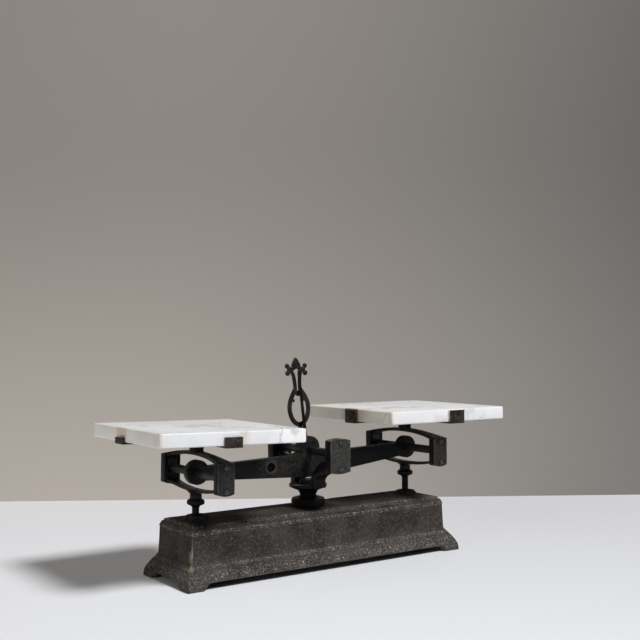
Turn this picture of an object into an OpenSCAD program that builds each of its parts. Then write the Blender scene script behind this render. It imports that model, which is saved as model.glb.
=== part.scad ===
// Two-pan equal-arm counter scale with marble plates.
// X runs along the beam, the front is -Y and Z is up.
// The origin is on the table, under the middle of the column.

/* [Marble plates] */
// Side of the left square marble plate
left_plate_side = 210; // [190:1:230]
// Side of the right square marble plate
right_plate_side = 213; // [190:1:230]
// Thickness of each marble plate
plate_thick = 18; // [14:0.5:22]
// Radius of the plates' upright corners
plate_corner_r = 3; // [1:0.5:8]
// How far the left plate sits forward on its carrier
left_plate_shift = 3.2; // [0:0.1:5]
// How far the right plate sits back on its carrier
right_plate_shift = 1.5; // [0:0.1:5]

/* [Pose] */
// Tilt of the beam at rest, left end down, in degrees
rest_tilt = 1.6; // [0:0.1:3]
// Tilt of the beam from level to either stop, in degrees
swing = 4.2; // [3.2:0.1:4.2]
// Lean of the left carrier, in degrees
left_lean = 1.6; // [0:0.1:2]
// Lean of the right carrier, in degrees
right_lean = 0.5; // [0:0.1:2]

/* [Beam] */
// Distance from the centre knife edge to each end knife edge
arm_length = 178; // [170:1:190]
// How far the end knife edges lie below the centre one
edge_drop = 0.5; // [0:0.1:1.5]
// Height of the beam's top edge above the centre knife edge
beam_top = 1; // [0:0.1:4]
// Depth of the beam at its middle
beam_depth = 33; // [28:0.5:34]
// Depth of the beam at its ends
beam_end_depth = 18.5; // [14:0.5:22]
// Thickness of the beam at its middle
beam_thick = 15; // [11:0.5:16]
// Thickness of the beam at its ends
beam_end_thick = 10; // [8:0.5:12]
// Radius of the round hub over the centre knife
hub_r = 16; // [14:0.5:18]
// Height of the hub's centre above the centre knife edge
hub_rise = 10; // [8:0.5:12]
// Radius of the round bosses at the beam's ends
end_boss_r = 16.5; // [14:0.5:18]
// Distance from the middle to the tare cavity
tare_x = 66.5; // [60:0.5:90]
// Radius of the ring round the tare cavity
tare_boss_r = 10; // [9:0.1:11.5]
// Radius of the tare cavity
tare_r = 6.8; // [5:0.1:8]
// Depth of the tare cavity
tare_depth = 7; // [4:0.5:8]

/* [Knives and bearings] */
// Width of a knife bar
knife_w = 8.6; // [7:0.1:9]
// Height of a knife bar
knife_h = 11; // [10:0.5:12.5]
// Gap between a knife edge and its bearing
edge_gap = 0.1; // [0.05:0.01:0.2]
// Angle between the two faces of a bearing's groove, in degrees
groove_angle = 120; // [110:1:130]
// Length of a bearing block above its groove
bearing_back = 5.5; // [4.5:0.5:6.5]
// End play of a knife bar between its two covers, on each side
end_play = 0.5; // [0.3:0.1:1]
// Width of the two centre housings
centre_housing_w = 32.6; // [28:0.2:36]
// Height of the two centre housings
centre_housing_h = 48; // [44:0.5:51]
// Depth of the two centre housings, without their covers
centre_housing_d = 11.8; // [9:0.1:14]
// Width of the four end housings
end_housing_w = 24; // [21:0.5:26]
// Height of the four end housings
end_housing_h = 41.5; // [38:0.5:44]
// Depth of the four end housings, without their covers
end_housing_d = 9.5; // [8:0.1:12]
// Thickness of a housing's cover plate
cover_thick = 2.5; // [1.5:0.1:3.5]
// How far the bowed ends of a housing and its cover bulge
cover_bow = 2.5; // [0:0.1:3]
// Radius of a cover screw's head
screw_head_r = 3.2; // [2:0.1:3.4]
// Radius of a cover screw's shank
screw_r = 1.5; // [1:0.1:1.8]

/* [Plate carriers] */
// Distance between the inner faces of a carrier's housings
carrier_span = 142; // [134:1:150]
// Width of a carrier's arches at their crowns
arch_w = 11; // [8:0.5:14]
// Thickness of a carrier's arches
arch_thick = 5; // [4:0.1:7]
// Height of the upper arch's underside above the knife edge
upper_crown = 17.5; // [15:0.5:18]
// Depth of the lower arch's inside below the knife edge
lower_crown = 27.5; // [25:0.5:30]
// Radius of the post between the upper arch and the cross
post_r = 9.5; // [8:0.5:12]
// Height of the plate's underside above the knife edge
plate_rise = 38.1; // [36:0.1:44]
// Width of the cross's straps
strap_w = 24; // [20:0.5:30]
// Thickness of the cross's straps and tabs
strap_thick = 2.6; // [2:0.1:4]
// Height of the left cross's tabs above their strap
left_tab_h = 11; // [6:0.5:13]
// Height of the left cross's worn outer tab above its strap
worn_tab_h = 5.5; // [3:0.5:13]
// Height of the right cross's tabs above their strap
right_tab_h = 16.5; // [6:0.5:17]
// Gap between a plate and the tabs that hold it
tab_gap = 0.5; // [0.3:0.1:1.5]
// How far a tab is wider than its strap, on each side
tab_lip = 0.5; // [0.2:0.1:1.5]
// Turn of the left cross's long strap, in degrees
left_long_turn = 5; // [-8:0.1:8]
// Turn of the left cross's short strap, in degrees
left_short_turn = 2.9; // [-8:0.1:8]
// Turn of the right cross's long strap, in degrees
right_long_turn = -5.6; // [-8:0.1:8]
// Turn of the right cross's short strap, in degrees
right_short_turn = -6; // [-8:0.1:8]
// Radius of the neck above a stem's knob
neck_r = 8; // [6.5:0.1:8.5]
// Radius of a stem's knob
knob_r = 11.8; // [10.5:0.1:13]
// Height of a stem's knob
knob_h = 7.5; // [6:0.5:9]
// Radius of a stem's rod
rod_r = 4.8; // [4:0.1:5.2]

/* [Column and yoke] */
// Height of the column
column_h = 27; // [25.5:0.5:31]
// Radius of the column's foot ring
column_foot_r = 24.2; // [21:0.1:27]
// Radius of the column's waist
column_waist_r = 11.4; // [10:0.1:14]
// Radius of the column's top flange
column_flange_r = 26; // [24:0.1:28]
// Height of the centre knife edge above the column
yoke_rise = 45.5; // [45.5:0.5:49]
// Width of the yoke's two arms
yoke_arm_w = 19; // [15:0.5:22]
// Radius of the yoke's round seat
yoke_seat_r = 26.9; // [25:0.1:29]
// Thickness of the yoke's round seat
yoke_seat_h = 3.8; // [3:0.1:5]
// Radius of the boss for the bolt in the middle of the yoke
yoke_boss_r = 12; // [9:0.5:14]
// Height of the boss for the bolt above the column
yoke_boss_h = 10; // [7:0.5:11]
// Distance between the inner faces of the yoke's housings
yoke_span = 136; // [128:1:144]
// Radius of the bolt that holds the yoke, column and base together
bolt_r = 5; // [4:0.5:6]

/* [Base] */
// Height of the base
base_h = 80; // [78:1:84]
// Length of the base's upright walls
base_l = 419.5; // [410:0.5:450]
// Width of the base's upright walls
base_w = 95.2; // [88:0.2:110]
// Wall of the base casting
base_wall = 6; // [4.5:0.5:7]
// How far the upright walls slope out from shoulder to floor
base_draft = 3.2; // [0:0.1:4]
// How far the skirt flares past the front and back walls
flare_y = 16.4; // [12:0.2:24]
// How far the skirt flares past the end walls
flare_x = 12.4; // [10:0.2:24]
// Height at which the skirt starts to flare
flare_top = 32; // [26:0.5:38]
// How soon the skirt swings out below that height, where 1 is an even S curve and less is sooner
flare_curve = 0.7; // [0.6:0.05:1]
// Height of the skirt's edge between the feet
skirt_gap = 9; // [6:0.5:11]
// Length of a foot along the front
foot_l = 22; // [16:0.5:30]
// Length of a foot along the end
foot_w = 24; // [16:0.5:28]
// How far the shoulder steps in to the base's top
shoulder = 5; // [3:0.5:8]
// Radius of the bead lines along the shoulder
bead_r = 1; // [0.6:0.1:1.5]
// Radius of a guide collar's rim
collar_r = 13.7; // [12.5:0.1:15]
// Height of a guide collar above the base
collar_h = 5; // [4:0.5:7]
// Radius of the hole in a guide collar
collar_bore_r = 9; // [8.8:0.1:10]
// Radial clearance of a guide collar in its seat in the base
collar_fit = 0.1; // [0.05:0.05:0.3]

/* [Lyre and needle] */
// Height of the lyre above its bracket
lyre_h = 107; // [95:1:115]
// Half width of the lyre's loop, along the middle of its bar
lyre_half_w = 15.9; // [13:0.1:18]
// Half width of the lyre's waist, along the middle of its bar
lyre_waist = 4; // [3.8:0.1:5.2]
// Width of the bar round the lyre's loop
lyre_bar = 6.6; // [5:0.1:7]
// Width of the two bars beside the lyre's slot
lyre_slot_bar = 5.4; // [4:0.1:6]
// Thickness of the lyre
lyre_thick = 2.8; // [2:0.1:5]
// Gap between the needle's back and the lyre's front
needle_gap = 2.8; // [2.5:0.1:5]
// Sideways place of the lyre's foot
lyre_x = -2.5; // [-6:0.1:4]
// Lean of the lyre to the left, in degrees
lyre_lean = 4.2; // [0:0.1:5]
// Length of the needle above its screw
needle_l = 104; // [95:0.5:112]
// Width of the needle at its foot
needle_w = 5.2; // [3.5:0.1:6]
// Width of the needle under its tip
needle_tip_w = 3.4; // [1.5:0.1:4]
// Thickness of the needle
needle_thick = 2.2; // [1.5:0.1:2.5]
// Lean of the needle from the beam's upright, in degrees
needle_lean = 5.2; // [0:0.1:6]
// Sideways place of the needle's foot
needle_x = 3.9; // [0:0.1:6]

/* [Lower stay] */
// Depth of the stay's pivot below the base's top
stay_depth = 38; // [38:0.5:42]
// Height of the stay's bar
stay_h = 14; // [12:0.5:15]
// Thickness of the stay's bar
stay_thick = 6; // [4:0.5:8]
// Radius of the stay's centre pin
stay_pin_r = 4; // [3:0.5:5]
// Radius of the pin at the foot of each stem
stem_pin_r = 3; // [2:0.5:3.5]
// Radial clearance of a running pin
running_gap = 0.05; // [0.03:0.01:0.1]
// Radial clearance of the open pivots at the stems' feet
open_gap = 0.6; // [0.5:0.1:1]
// Clearance beside the stay in its forks
side_gap = 0.5; // [0.3:0.1:1]

/* [Hidden] */
$fn = 64;

left = -1;
right = 1;
front = -1;
back = 1;
cut = 1;
steps = 10;
iron = [0.16, 0.15, 0.14];
dark_iron = [0.09, 0.09, 0.09];
steel = [0.35, 0.34, 0.33];
marble = [0.93, 0.93, 0.93];
lead = [0.3, 0.3, 0.31];

pivot_z = base_h + column_h + yoke_rise;
stay_z = base_h - stay_depth;
plate_gap = 0.1;
max_turn = swing + rest_tilt;

// The bearing pocket leaves room for the knife bar at full swing
pocket_half = knife_w / 2 + knife_h * sin(max_turn) + 0.8;
pocket_open = knife_h + 2;
groove_depth = pocket_half / tan(groove_angle / 2);
centre_housing_low = 20.5;
boss_drop = knife_h / 2 + 0.2;
centre_knife_l = yoke_span + 2 * (centre_housing_d - end_play);
end_knife_l = carrier_span + 2 * (end_housing_d - end_play);
screw_inset = 6;
end_screw_inset = 5.5;
screw_l = 7;
head_h = 1.4;
slot_w = 0.7;
slot_depth = 0.6;

cross_z = plate_rise - plate_gap - strap_thick;
knob_top = lower_crown + arch_thick + 8;
fork_half_w = stay_thick / 2 + side_gap + 4;
fork_half_l = 8;
fork_rise = stay_h / 2 + 2.5;
collar_foot_r = collar_r + 4.3;
ceiling = base_h - base_wall;
bracket_thick = 4;
bracket_half_w = 12;
bracket_in = 2 * bolt_r + 1;
bracket_half_y = bracket_in + bracket_thick;
bolt_head_h = 7;
fork_web = 2.5;
socket_h = 5.5;
fork_h = fork_rise + fork_web + socket_h;
strap_z = pivot_z - centre_housing_low + centre_housing_h;
lyre_strap_thick = 3.5;
lyre_y = beam_thick / 2 + needle_thick + needle_gap;
lyre_foot_y = lyre_y - 1;
lyre_screw_y = lyre_y + 9;
lyre_pad_h = 2.5;
lyre_pad_half_w = 6;
lyre_pad_l = 14;
lyre_screw_x = 8;
lyre_screw_l = lyre_strap_thick + 5;
strap_pad_half_w = lyre_screw_x + 4;
collar_let = 1.5;

end_reach = carrier_span / 2;
// The bearing block fits between the knife edge and the upper cover screw
end_high = bearing_back + end_screw_inset + screw_r + 0.5;
end_housing_low = end_housing_h - end_high;
// The upper arch runs out over the housings' tops, and the lower one rises from its crown
upper_fall = upper_crown + arch_thick - end_high;
lower_rise = lower_crown - end_housing_low + arch_thick + 3;
// The tare cavity opens in the beam's front, and the needle is fixed to its back
tare_z = -11.5;
tare_face = -(beam_thick / 2 + 1);
tare_floor = tare_face + tare_depth;
needle_z = 17.4;

function plate_side(side) = side == left ? left_plate_side : right_plate_side;
function plate_half(side) = plate_side(side) / 2;
// Where the plate's middle lies across its carrier
function plate_y(side) = side == left ? -left_plate_shift : right_plate_shift;
function lean(side) = side == left ? left_lean : right_lean;
function long_tabs(side) = side == left ? [worn_tab_h, left_tab_h] : [right_tab_h, right_tab_h];
function short_tabs(side) = side == left ? [left_tab_h, left_tab_h] : [right_tab_h, right_tab_h];
function long_turn(side) = side == left ? left_long_turn : right_long_turn;
function short_turn(side) = side == left ? left_short_turn : right_short_turn;
// A point [x, z] turned about the Y axis
function turned(p, a) = [p[0] * cos(a) + p[1] * sin(a), p[1] * cos(a) - p[0] * sin(a)];
function edge_at(side) = turned([side * arm_length, -edge_drop], -rest_tilt) + [0, pivot_z];
// The stem's length makes its pin level with the stay's end at rest
stem_l = pivot_z - edge_drop - stay_z;
function pin_at(side) = edge_at(side) + turned([0, -stem_l], lean(side));
function smooth(t) = t <= 0 ? 0 : t >= 1 ? 1 : t * t * (3 - 2 * t);
function bezier(a, b, c, t) = (1 - t) * (1 - t) * a + 2 * t * (1 - t) * b + t * t * c;
function curve(a, b, c) = [for (i = [0:steps]) bezier(a, b, c, i / steps)];
function flip(points) = [for (i = [len(points) - 1:-1:0]) points[i]];
function mirrored(points) = [for (i = [len(points) - 1:-1:0]) [-points[i][0], points[i][1]]];
function unit(v) = v / norm(v);
function heading(p, i) = unit(p[min(i + 1, len(p) - 1)] - p[max(i - 1, 0)]);
function beside(p, i, d) = p[i] + d * [-heading(p, i)[1], heading(p, i)[0]];
// A band of the given width along a line of points
function band(p, w) = concat([for (i = [0:len(p) - 1]) beside(p, i, w / 2)],
                             [for (i = [len(p) - 1:-1:0]) beside(p, i, -w / 2)]);

// Places children in the beam's frame, whose origin is the centre knife edge
module on_beam() {
    translate([0, 0, pivot_z]) rotate([0, -rest_tilt, 0]) children();
}

// Places children in a carrier's frame, whose origin is its knife edge
module on_carrier(side) {
    translate([edge_at(side)[0], 0, edge_at(side)[1]]) rotate([0, lean(side), 0]) children();
}

// Extrudes an outline drawn in X and Z by d along Y, centred
module along_y(d) {
    rotate([90, 0, 0]) translate([0, 0, -d / 2]) linear_extrude(d) children();
}

// Extrudes an outline drawn in Y and Z by d along X, centred
module along_x(d) {
    rotate([90, 0, 90]) translate([0, 0, -d / 2]) linear_extrude(d) children();
}

module disc_y(r, d) {
    rotate([90, 0, 0]) translate([0, 0, -d / 2]) cylinder(r = r, h = d);
}

// Slotted screw with its head's seat at the origin and its shank down Z
module screw(head_r, shank_r, length) {
    difference() {
        union() {
            cylinder(r = head_r, h = head_h);
            translate([0, 0, -length]) cylinder(r = shank_r, h = length);
        }
        translate([-head_r - cut, -slot_w / 2, head_h - slot_depth])
            cube([2 * (head_r + cut), slot_w, cut]);
    }
}

// Places children at the two screws of a cover, with Z pointing out of its face
module cover_screw_places(side_y, face_y, low, high, inset) {
    for (z = [-low + inset, high - inset]) {
        translate([0, side_y * face_y, z]) rotate([-90 * side_y, 0, 0]) children();
    }
}

// Outline of a housing and its cover, with a bowed bottom and a top that bows by top_bow
module bowed_outline(w, low, high, top_bow) {
    line = [for (i = [0:2 * steps]) [w * (0.5 - i / (2 * steps)), pow(i / steps - 1, 2)]];
    polygon(concat([for (p = line) [p[0], high - top_bow * p[1]]],
                   [for (p = flip(line)) [p[0], cover_bow * p[1] - low]]));
}

// Housing block with its inner face at y = reach and the knife edge at z = 0
module housing(side_y, reach, w, d, low, high, top_bow) {
    translate([0, side_y * (reach + d / 2), 0]) along_y(d) bowed_outline(w, low, high, top_bow);
}

module cover_screw_holes(face_y, low, high, inset) {
    for (side_y = [front, back]) {
        cover_screw_places(side_y, face_y, low, high, inset)
            translate([0, 0, -screw_l]) cylinder(r = screw_r, h = 2 * screw_l);
    }
}

// Pocket for a bearing block above the knife edge and for the bar below it
module pocket(side_y, reach, d) {
    translate([-pocket_half, side_y > 0 ? reach - cut : -reach - d - cut, -pocket_open])
        cube([2 * pocket_half, d + 2 * cut, pocket_open + bearing_back]);
}

// Hard bearing block, grooved on its underside
module bearing_block(side_y, reach, d) {
    out = pocket_half + cut;
    mouth = edge_gap - out / tan(groove_angle / 2);
    difference() {
        translate([-pocket_half, side_y > 0 ? reach : -reach - d, -groove_depth])
            cube([2 * pocket_half, d, groove_depth + bearing_back]);
        along_y(3 * reach)
            polygon([[-out, mouth], [0, edge_gap], [out, mouth], [out, mouth - 3 * cut],
                     [-out, mouth - 3 * cut]]);
    }
}

module cover(side_y, face_y, w, low, high, top_bow, inset) {
    difference() {
        translate([0, side_y * (face_y + cover_thick / 2), 0])
            along_y(cover_thick) bowed_outline(w, low, high, top_bow);
        cover_screw_places(side_y, face_y, low, high, inset)
            translate([0, 0, -cut]) cylinder(r = screw_r, h = cover_thick + 2 * cut);
    }
}

module cover_screws(face_y, low, high, inset) {
    for (side_y = [front, back]) {
        cover_screw_places(side_y, face_y + cover_thick, low, high, inset)
            rotate([0, 0, 20]) screw(screw_head_r, screw_r, screw_l);
    }
}

// Knife bar with its edge up at z = 0
module knife_outline() {
    polygon([[0, 0], [knife_w / 2, -knife_w / 2], [knife_w / 2, -knife_h],
             [-knife_w / 2, -knife_h], [-knife_w / 2, -knife_w / 2]]);
}

// How far the base's outside stands past its upright walls at height z, as a share of the flare
function flare_at(z) = smooth(pow(max(0, flare_top - z) / (flare_top - 3), flare_curve));

// The base's sections from the floor up: [step past the wall, height, flare share]
shoulder_z = base_h - 11;
shoulder_top = base_h - 4.5;
function draft_at(z) = base_draft * (1 - z / shoulder_z);
base_skirt = [for (i = [0:steps]) let (z = i * flare_top / steps) [draft_at(z), z, flare_at(z)]];
cavity_section = concat(base_skirt, [[0, shoulder_z, 0], [-shoulder / 2, ceiling, 0]]);
base_section = concat(
    base_skirt,
    [[0, shoulder_z - bead_r, 0], [bead_r / 2, shoulder_z, 0]],
    // Round shoulder between the two bead lines, then the crown of the top
    [for (a = [0:15:90]) [-shoulder * (1 - cos(a)),
                          shoulder_z + bead_r + (shoulder_top - shoulder_z - bead_r) * sin(a), 0]],
    [[-shoulder + bead_r / 2, shoulder_top + bead_r, 0], [-shoulder, shoulder_top + 2 * bead_r, 0],
     [-shoulder - 7, base_h - 0.9, 0], [-shoulder - 16, base_h, 0]]);

// Half outline of the base across one direction
function base_half(section, half, flare) = [for (p = section) [half + p[0] + p[2] * flare, p[1]]];

module base_shape(section, inset) {
    across = base_half(section, base_w / 2 - inset, flare_y);
    along = base_half(section, base_l / 2 - inset, flare_x);
    intersection() {
        along_x(2 * base_l) polygon(concat(across, mirrored(across)));
        along_y(2 * base_w) polygon(concat(along, mirrored(along)));
    }
}

// Arch cut out of the skirt between two feet
module skirt_cut(half, flare, foot) {
    outer = half + base_draft + flare - foot;
    polygon([[-outer, -cut], [-outer, 0], [-outer + skirt_gap, skirt_gap], [outer - skirt_gap, skirt_gap],
             [outer, 0], [outer, -cut]]);
}

module base_casting() {
    color(iron) difference() {
        base_shape(base_section, 0);
        difference() {
            base_shape(cavity_section, base_wall);
            translate([0, 0, ceiling - 4]) cylinder(r = column_foot_r, h = base_wall);
        }
        along_y(2 * base_w) skirt_cut(base_l / 2, flare_x, foot_l);
        along_x(2 * base_l) skirt_cut(base_w / 2, flare_y, foot_w);
        translate([0, 0, ceiling - 5]) cylinder(r = bolt_r, h = base_wall + 6);
        for (side = [left, right]) {
            translate([side * arm_length, 0, ceiling - cut])
                cylinder(r = collar_bore_r + 2 + collar_fit, h = base_wall + 2 * cut);
            translate([side * arm_length, 0, base_h - collar_let])
                cylinder(r = collar_foot_r + collar_fit, h = collar_let + cut);
        }
    }
}

module guide_collar(side) {
    color(iron) translate([side * arm_length, 0, 0]) difference() {
        rotate_extrude() polygon([[0, ceiling], [collar_bore_r + 2, ceiling],
                                  [collar_bore_r + 2, base_h - collar_let],
                                  [collar_foot_r, base_h - collar_let], [collar_foot_r, base_h],
                                  [collar_foot_r - 1.5, base_h + 1.5],
                                  [collar_r + 1, base_h + collar_h - 2], [collar_r, base_h + collar_h],
                                  [0, base_h + collar_h]]);
        translate([0, 0, ceiling - cut]) cylinder(r = collar_bore_r, h = base_wall + collar_h + 2 * cut);
    }
}

module column() {
    top = base_h + column_h;
    color(iron) difference() {
        rotate_extrude() polygon([[0, base_h], [column_foot_r, base_h], [column_foot_r, base_h + 8],
                                  [column_foot_r - 1.5, base_h + 11], [column_waist_r + 5.6, base_h + 12.2],
                                  [column_waist_r + 0.8, base_h + 13.8], [column_waist_r, base_h + 15.7],
                                  [column_waist_r + 2.4, top - 6.6], [column_waist_r + 3.8, top - 4.8],
                                  [column_flange_r - 6, top - 3.3], [column_flange_r - 1.1, top - 1],
                                  [column_flange_r, top], [0, top]]);
        translate([0, 0, base_h - cut]) cylinder(r = bolt_r, h = column_h + 2 * cut);
    }
}

module yoke() {
    seat = base_h + column_h;
    reach = yoke_span / 2;
    low = pivot_z - centre_housing_low;
    foot = yoke_seat_r + 4;
    under = curve([foot - 0.5, seat + 10], [foot + 2, low - 3.5], [reach + 2, low]);
    over = curve([foot - 14, seat + yoke_seat_h], [foot - 7, low + 0.5], [reach - 18, low + 14.5]);
    color(dark_iron) difference() {
        union() {
            translate([0, 0, seat]) cylinder(r = yoke_seat_r, h = yoke_seat_h);
            translate([0, 0, seat]) cylinder(r = yoke_boss_r, h = yoke_boss_h);
            for (side_y = [front, back]) {
                along_x(yoke_arm_w) mirror([side_y < 0 ? 1 : 0, 0])
                    polygon(concat([[0, seat], [foot, seat]], under,
                                   [[reach + 2, pivot_z - 3], [reach, pivot_z - 3]],
                                   flip(over), [[0, seat + yoke_seat_h]]));
                translate([0, 0, pivot_z])
                    housing(side_y, reach, centre_housing_w, centre_housing_d, centre_housing_low,
                            centre_housing_h - centre_housing_low, cover_bow);
            }
        }
        for (side_y = [front, back]) {
            translate([0, 0, pivot_z]) mirror([0, 0, 1]) pocket(side_y, reach, centre_housing_d);
        }
        translate([0, 0, pivot_z])
            cover_screw_holes(reach + centre_housing_d, centre_housing_low,
                              centre_housing_h - centre_housing_low, screw_inset);
        translate([0, 0, seat - cut]) cylinder(r = bolt_r, h = yoke_boss_h - 0.5 + cut);
        lyre_screw_places() translate([0, 0, -lyre_screw_l]) cylinder(r = screw_r, h = 2 * lyre_screw_l);
    }
}

module column_bolt() {
    z = ceiling - 4 - bracket_thick;
    color(steel) union() {
        translate([0, 0, z - bolt_head_h]) cylinder(r = 2 * bolt_r, h = bolt_head_h, $fn = 6);
        translate([0, 0, z]) cylinder(r = bolt_r, h = base_h + column_h + yoke_boss_h - 1 - z);
    }
}

module stay_bracket() {
    top = ceiling - 4;
    color(dark_iron) difference() {
        union() {
            translate([-bracket_half_w, -bracket_half_y, top - bracket_thick])
                cube([2 * bracket_half_w, 2 * bracket_half_y, bracket_thick]);
            for (side_y = [front, back]) {
                translate([0, side_y * (bracket_half_y - bracket_thick / 2), 0]) {
                    translate([-bracket_half_w, -bracket_thick / 2, stay_z])
                        cube([2 * bracket_half_w, bracket_thick, top - stay_z]);
                    translate([0, 0, stay_z]) disc_y(bracket_half_w, bracket_thick);
                }
            }
        }
        translate([0, 0, top - bracket_thick - cut]) cylinder(r = bolt_r, h = bracket_thick + 2 * cut);
        translate([0, 0, stay_z]) disc_y(stay_pin_r, 3 * bracket_half_y);
    }
}

module stay_pin() {
    color(steel) translate([0, 0, stay_z]) union() {
        disc_y(stay_pin_r, 2 * bracket_half_y);
        for (side_y = [front, back]) {
            translate([0, side_y * (bracket_half_y + 1), 0]) disc_y(stay_pin_r + 1.6, 2);
        }
    }
}

module lyre_screw_places() {
    reach = yoke_span / 2;
    for (x = [-lyre_screw_x, lyre_screw_x]) {
        translate([x, reach + centre_housing_d / 2, strap_z + lyre_strap_thick]) children();
    }
}

// Strap from the back housing's bowed top to the lyre's foot
module lyre_bracket() {
    reach = yoke_span / 2 + centre_housing_d;
    color(dark_iron) difference() {
        union() {
            translate([-lyre_pad_half_w, lyre_foot_y, strap_z])
                cube([2 * lyre_pad_half_w, reach - lyre_foot_y, lyre_strap_thick]);
            translate([-strap_pad_half_w, yoke_span / 2, strap_z - cover_bow])
                cube([2 * strap_pad_half_w, centre_housing_d, cover_bow + lyre_strap_thick]);
        }
        translate([0, reach, pivot_z]) along_y(3 * centre_housing_d)
            bowed_outline(centre_housing_w, centre_housing_low, centre_housing_h - centre_housing_low,
                          cover_bow);
        lyre_screw_places() translate([0, 0, -lyre_screw_l]) cylinder(r = screw_r, h = 2 * lyre_screw_l);
        translate([lyre_x, lyre_screw_y, strap_z - cut])
            cylinder(r = screw_r, h = lyre_strap_thick + 2 * cut);
    }
}

module lyre_screws() {
    color(steel) union() {
        lyre_screw_places() screw(screw_head_r, screw_r, lyre_screw_l);
        translate([lyre_x, lyre_screw_y, strap_z + lyre_strap_thick + lyre_pad_h])
            screw(screw_head_r, screw_r, lyre_strap_thick + lyre_pad_h);
    }
}

// Middle line of one side of the lyre, from the foot of its loop to its flower
loop_z = 9.8;
loop_low = 0.223 * lyre_h;
loop_high = 0.25 * lyre_h;
waist_z = loop_z + loop_low + loop_high;
lyre_tip = lyre_h - 1;
flower_x = 11.3;
flower_z = lyre_tip - 17.8;
// The flowers are cast level although the lyre leans
flower_skew = 1;
loop_out = [for (i = [0:steps]) [lyre_half_w * sin(90 * i / steps),
                                 loop_z + loop_low * (1 - cos(90 * i / steps))]];
loop_in = [for (i = [1:steps]) [lyre_waist + (lyre_half_w - lyre_waist) * cos(90 * i / steps),
                                loop_z + loop_low + loop_high * i / steps]];
slot_side = [[lyre_waist, waist_z - 2], [lyre_waist, waist_z + 8], [lyre_waist + 1.4, flower_z - 7.4],
             [flower_x - 2.4, flower_z - 0.6]];

module lyre_outline() {
    for (side = [left, right]) {
        mirror([side < 0 ? 1 : 0, 0]) {
            polygon(band(concat(loop_out, loop_in), lyre_bar));
            polygon(band(slot_side, lyre_slot_bar));
            translate([flower_x, flower_z + 0.8 - side * flower_skew]) {
                circle(4.2);
                translate([3.7, 4.8]) circle(3.6);
                translate([3.5, -5.4]) circle(3.8);
            }
            translate([8.7, waist_z - 15.6]) circle(2.4);
            // Rib from the flower to the slot's point, and half of the pointed head
            polygon([[0, flower_z + 2.3], [flower_x - 5.5, flower_z - 1.5], [flower_x, flower_z - 3.2],
                     [flower_x, flower_z + 3.8], [6.9, lyre_tip - 14], [7.6, lyre_tip - 11.5],
                     [6.8, lyre_tip - 9.5], [5.2, lyre_tip - 6.5], [3.6, lyre_tip - 3.2],
                     [2, lyre_tip - 0.9], [0, lyre_tip]]);
        }
    }
    translate([0, waist_z - 6]) circle(4.1);
    translate([-3.5, 0]) square([7, loop_z + 2]);
}

module lyre() {
    seat = strap_z + lyre_strap_thick;
    color(dark_iron) difference() {
        union() {
            translate([lyre_x, lyre_y + lyre_thick / 2, seat + 1]) rotate([0, -lyre_lean, 0])
                along_y(lyre_thick) lyre_outline();
            translate([lyre_x - lyre_pad_half_w, lyre_y, seat])
                cube([2 * lyre_pad_half_w, lyre_pad_l, lyre_pad_h]);
        }
        translate([lyre_x, lyre_screw_y, seat - cut]) cylinder(r = screw_r, h = lyre_pad_h + 2 * cut);
    }
}

module centre_bearing(side_y) {
    color(steel) translate([0, 0, pivot_z]) mirror([0, 0, 1])
        bearing_block(side_y, yoke_span / 2, centre_housing_d);
}

module centre_cover(side_y) {
    color(steel) translate([0, 0, pivot_z])
        cover(side_y, yoke_span / 2 + centre_housing_d, centre_housing_w, centre_housing_low,
              centre_housing_h - centre_housing_low, cover_bow, screw_inset);
}

module centre_cover_screws() {
    color(steel) translate([0, 0, pivot_z])
        cover_screws(yoke_span / 2 + centre_housing_d, centre_housing_low,
                     centre_housing_h - centre_housing_low, screw_inset);
}

// Top of the beam at distance x from its middle, with a fillet up to the hub
fillet_l = 2 * hub_r;
function top_at(x) = beam_top + 14 * pow(max(0, 1 - x / fillet_l), 2);

module beam_outline() {
    fillet = [for (i = [steps:-1:0]) [fillet_l * i / steps, top_at(fillet_l * i / steps)]];
    half = concat([[0, beam_top - beam_depth], [arm_length, beam_top - beam_end_depth],
                   [arm_length, beam_top]], fillet);
    polygon(concat(half, mirrored(half)));
    translate([0, hub_rise]) circle(hub_r);
}

module beam() {
    color(dark_iron) on_beam() difference() {
        union() {
            intersection() {
                along_y(2 * beam_thick) beam_outline();
                translate([0, 0, -2 * beam_depth]) linear_extrude(4 * beam_depth)
                    polygon([[-arm_length, -beam_end_thick / 2], [0, -beam_thick / 2],
                             [arm_length, -beam_end_thick / 2], [arm_length, beam_end_thick / 2],
                             [0, beam_thick / 2], [-arm_length, beam_end_thick / 2]]);
            }
            translate([0, 0, hub_rise]) disc_y(hub_r, beam_thick);
            for (side = [left, right]) {
                translate([side * arm_length, 0, -edge_drop - boss_drop])
                    disc_y(end_boss_r, beam_end_thick);
            }
            translate([-tare_x, -beam_thick / 4, tare_z]) disc_y(tare_boss_r, beam_thick / 2 + 2);
        }
        translate([-tare_x, tare_floor - 10, tare_z]) disc_y(tare_r, 20);
        mirror([0, 0, 1]) along_y(2 * beam_thick) knife_outline();
        for (side = [left, right]) {
            translate([side * arm_length, 0, -edge_drop]) along_y(2 * beam_thick) knife_outline();
        }
        translate([needle_x, 0, needle_z]) disc_y(screw_r, 3 * beam_thick);
    }
}

module tare_plug() {
    color(lead) on_beam() translate([-tare_x, tare_floor - 1.5, tare_z]) disc_y(tare_r, 3);
}

module centre_knife() {
    color(steel) on_beam() mirror([0, 0, 1]) along_y(centre_knife_l) knife_outline();
}

module end_knife(side) {
    color(steel) on_beam() translate([side * arm_length, 0, -edge_drop])
        along_y(end_knife_l) knife_outline();
}

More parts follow.
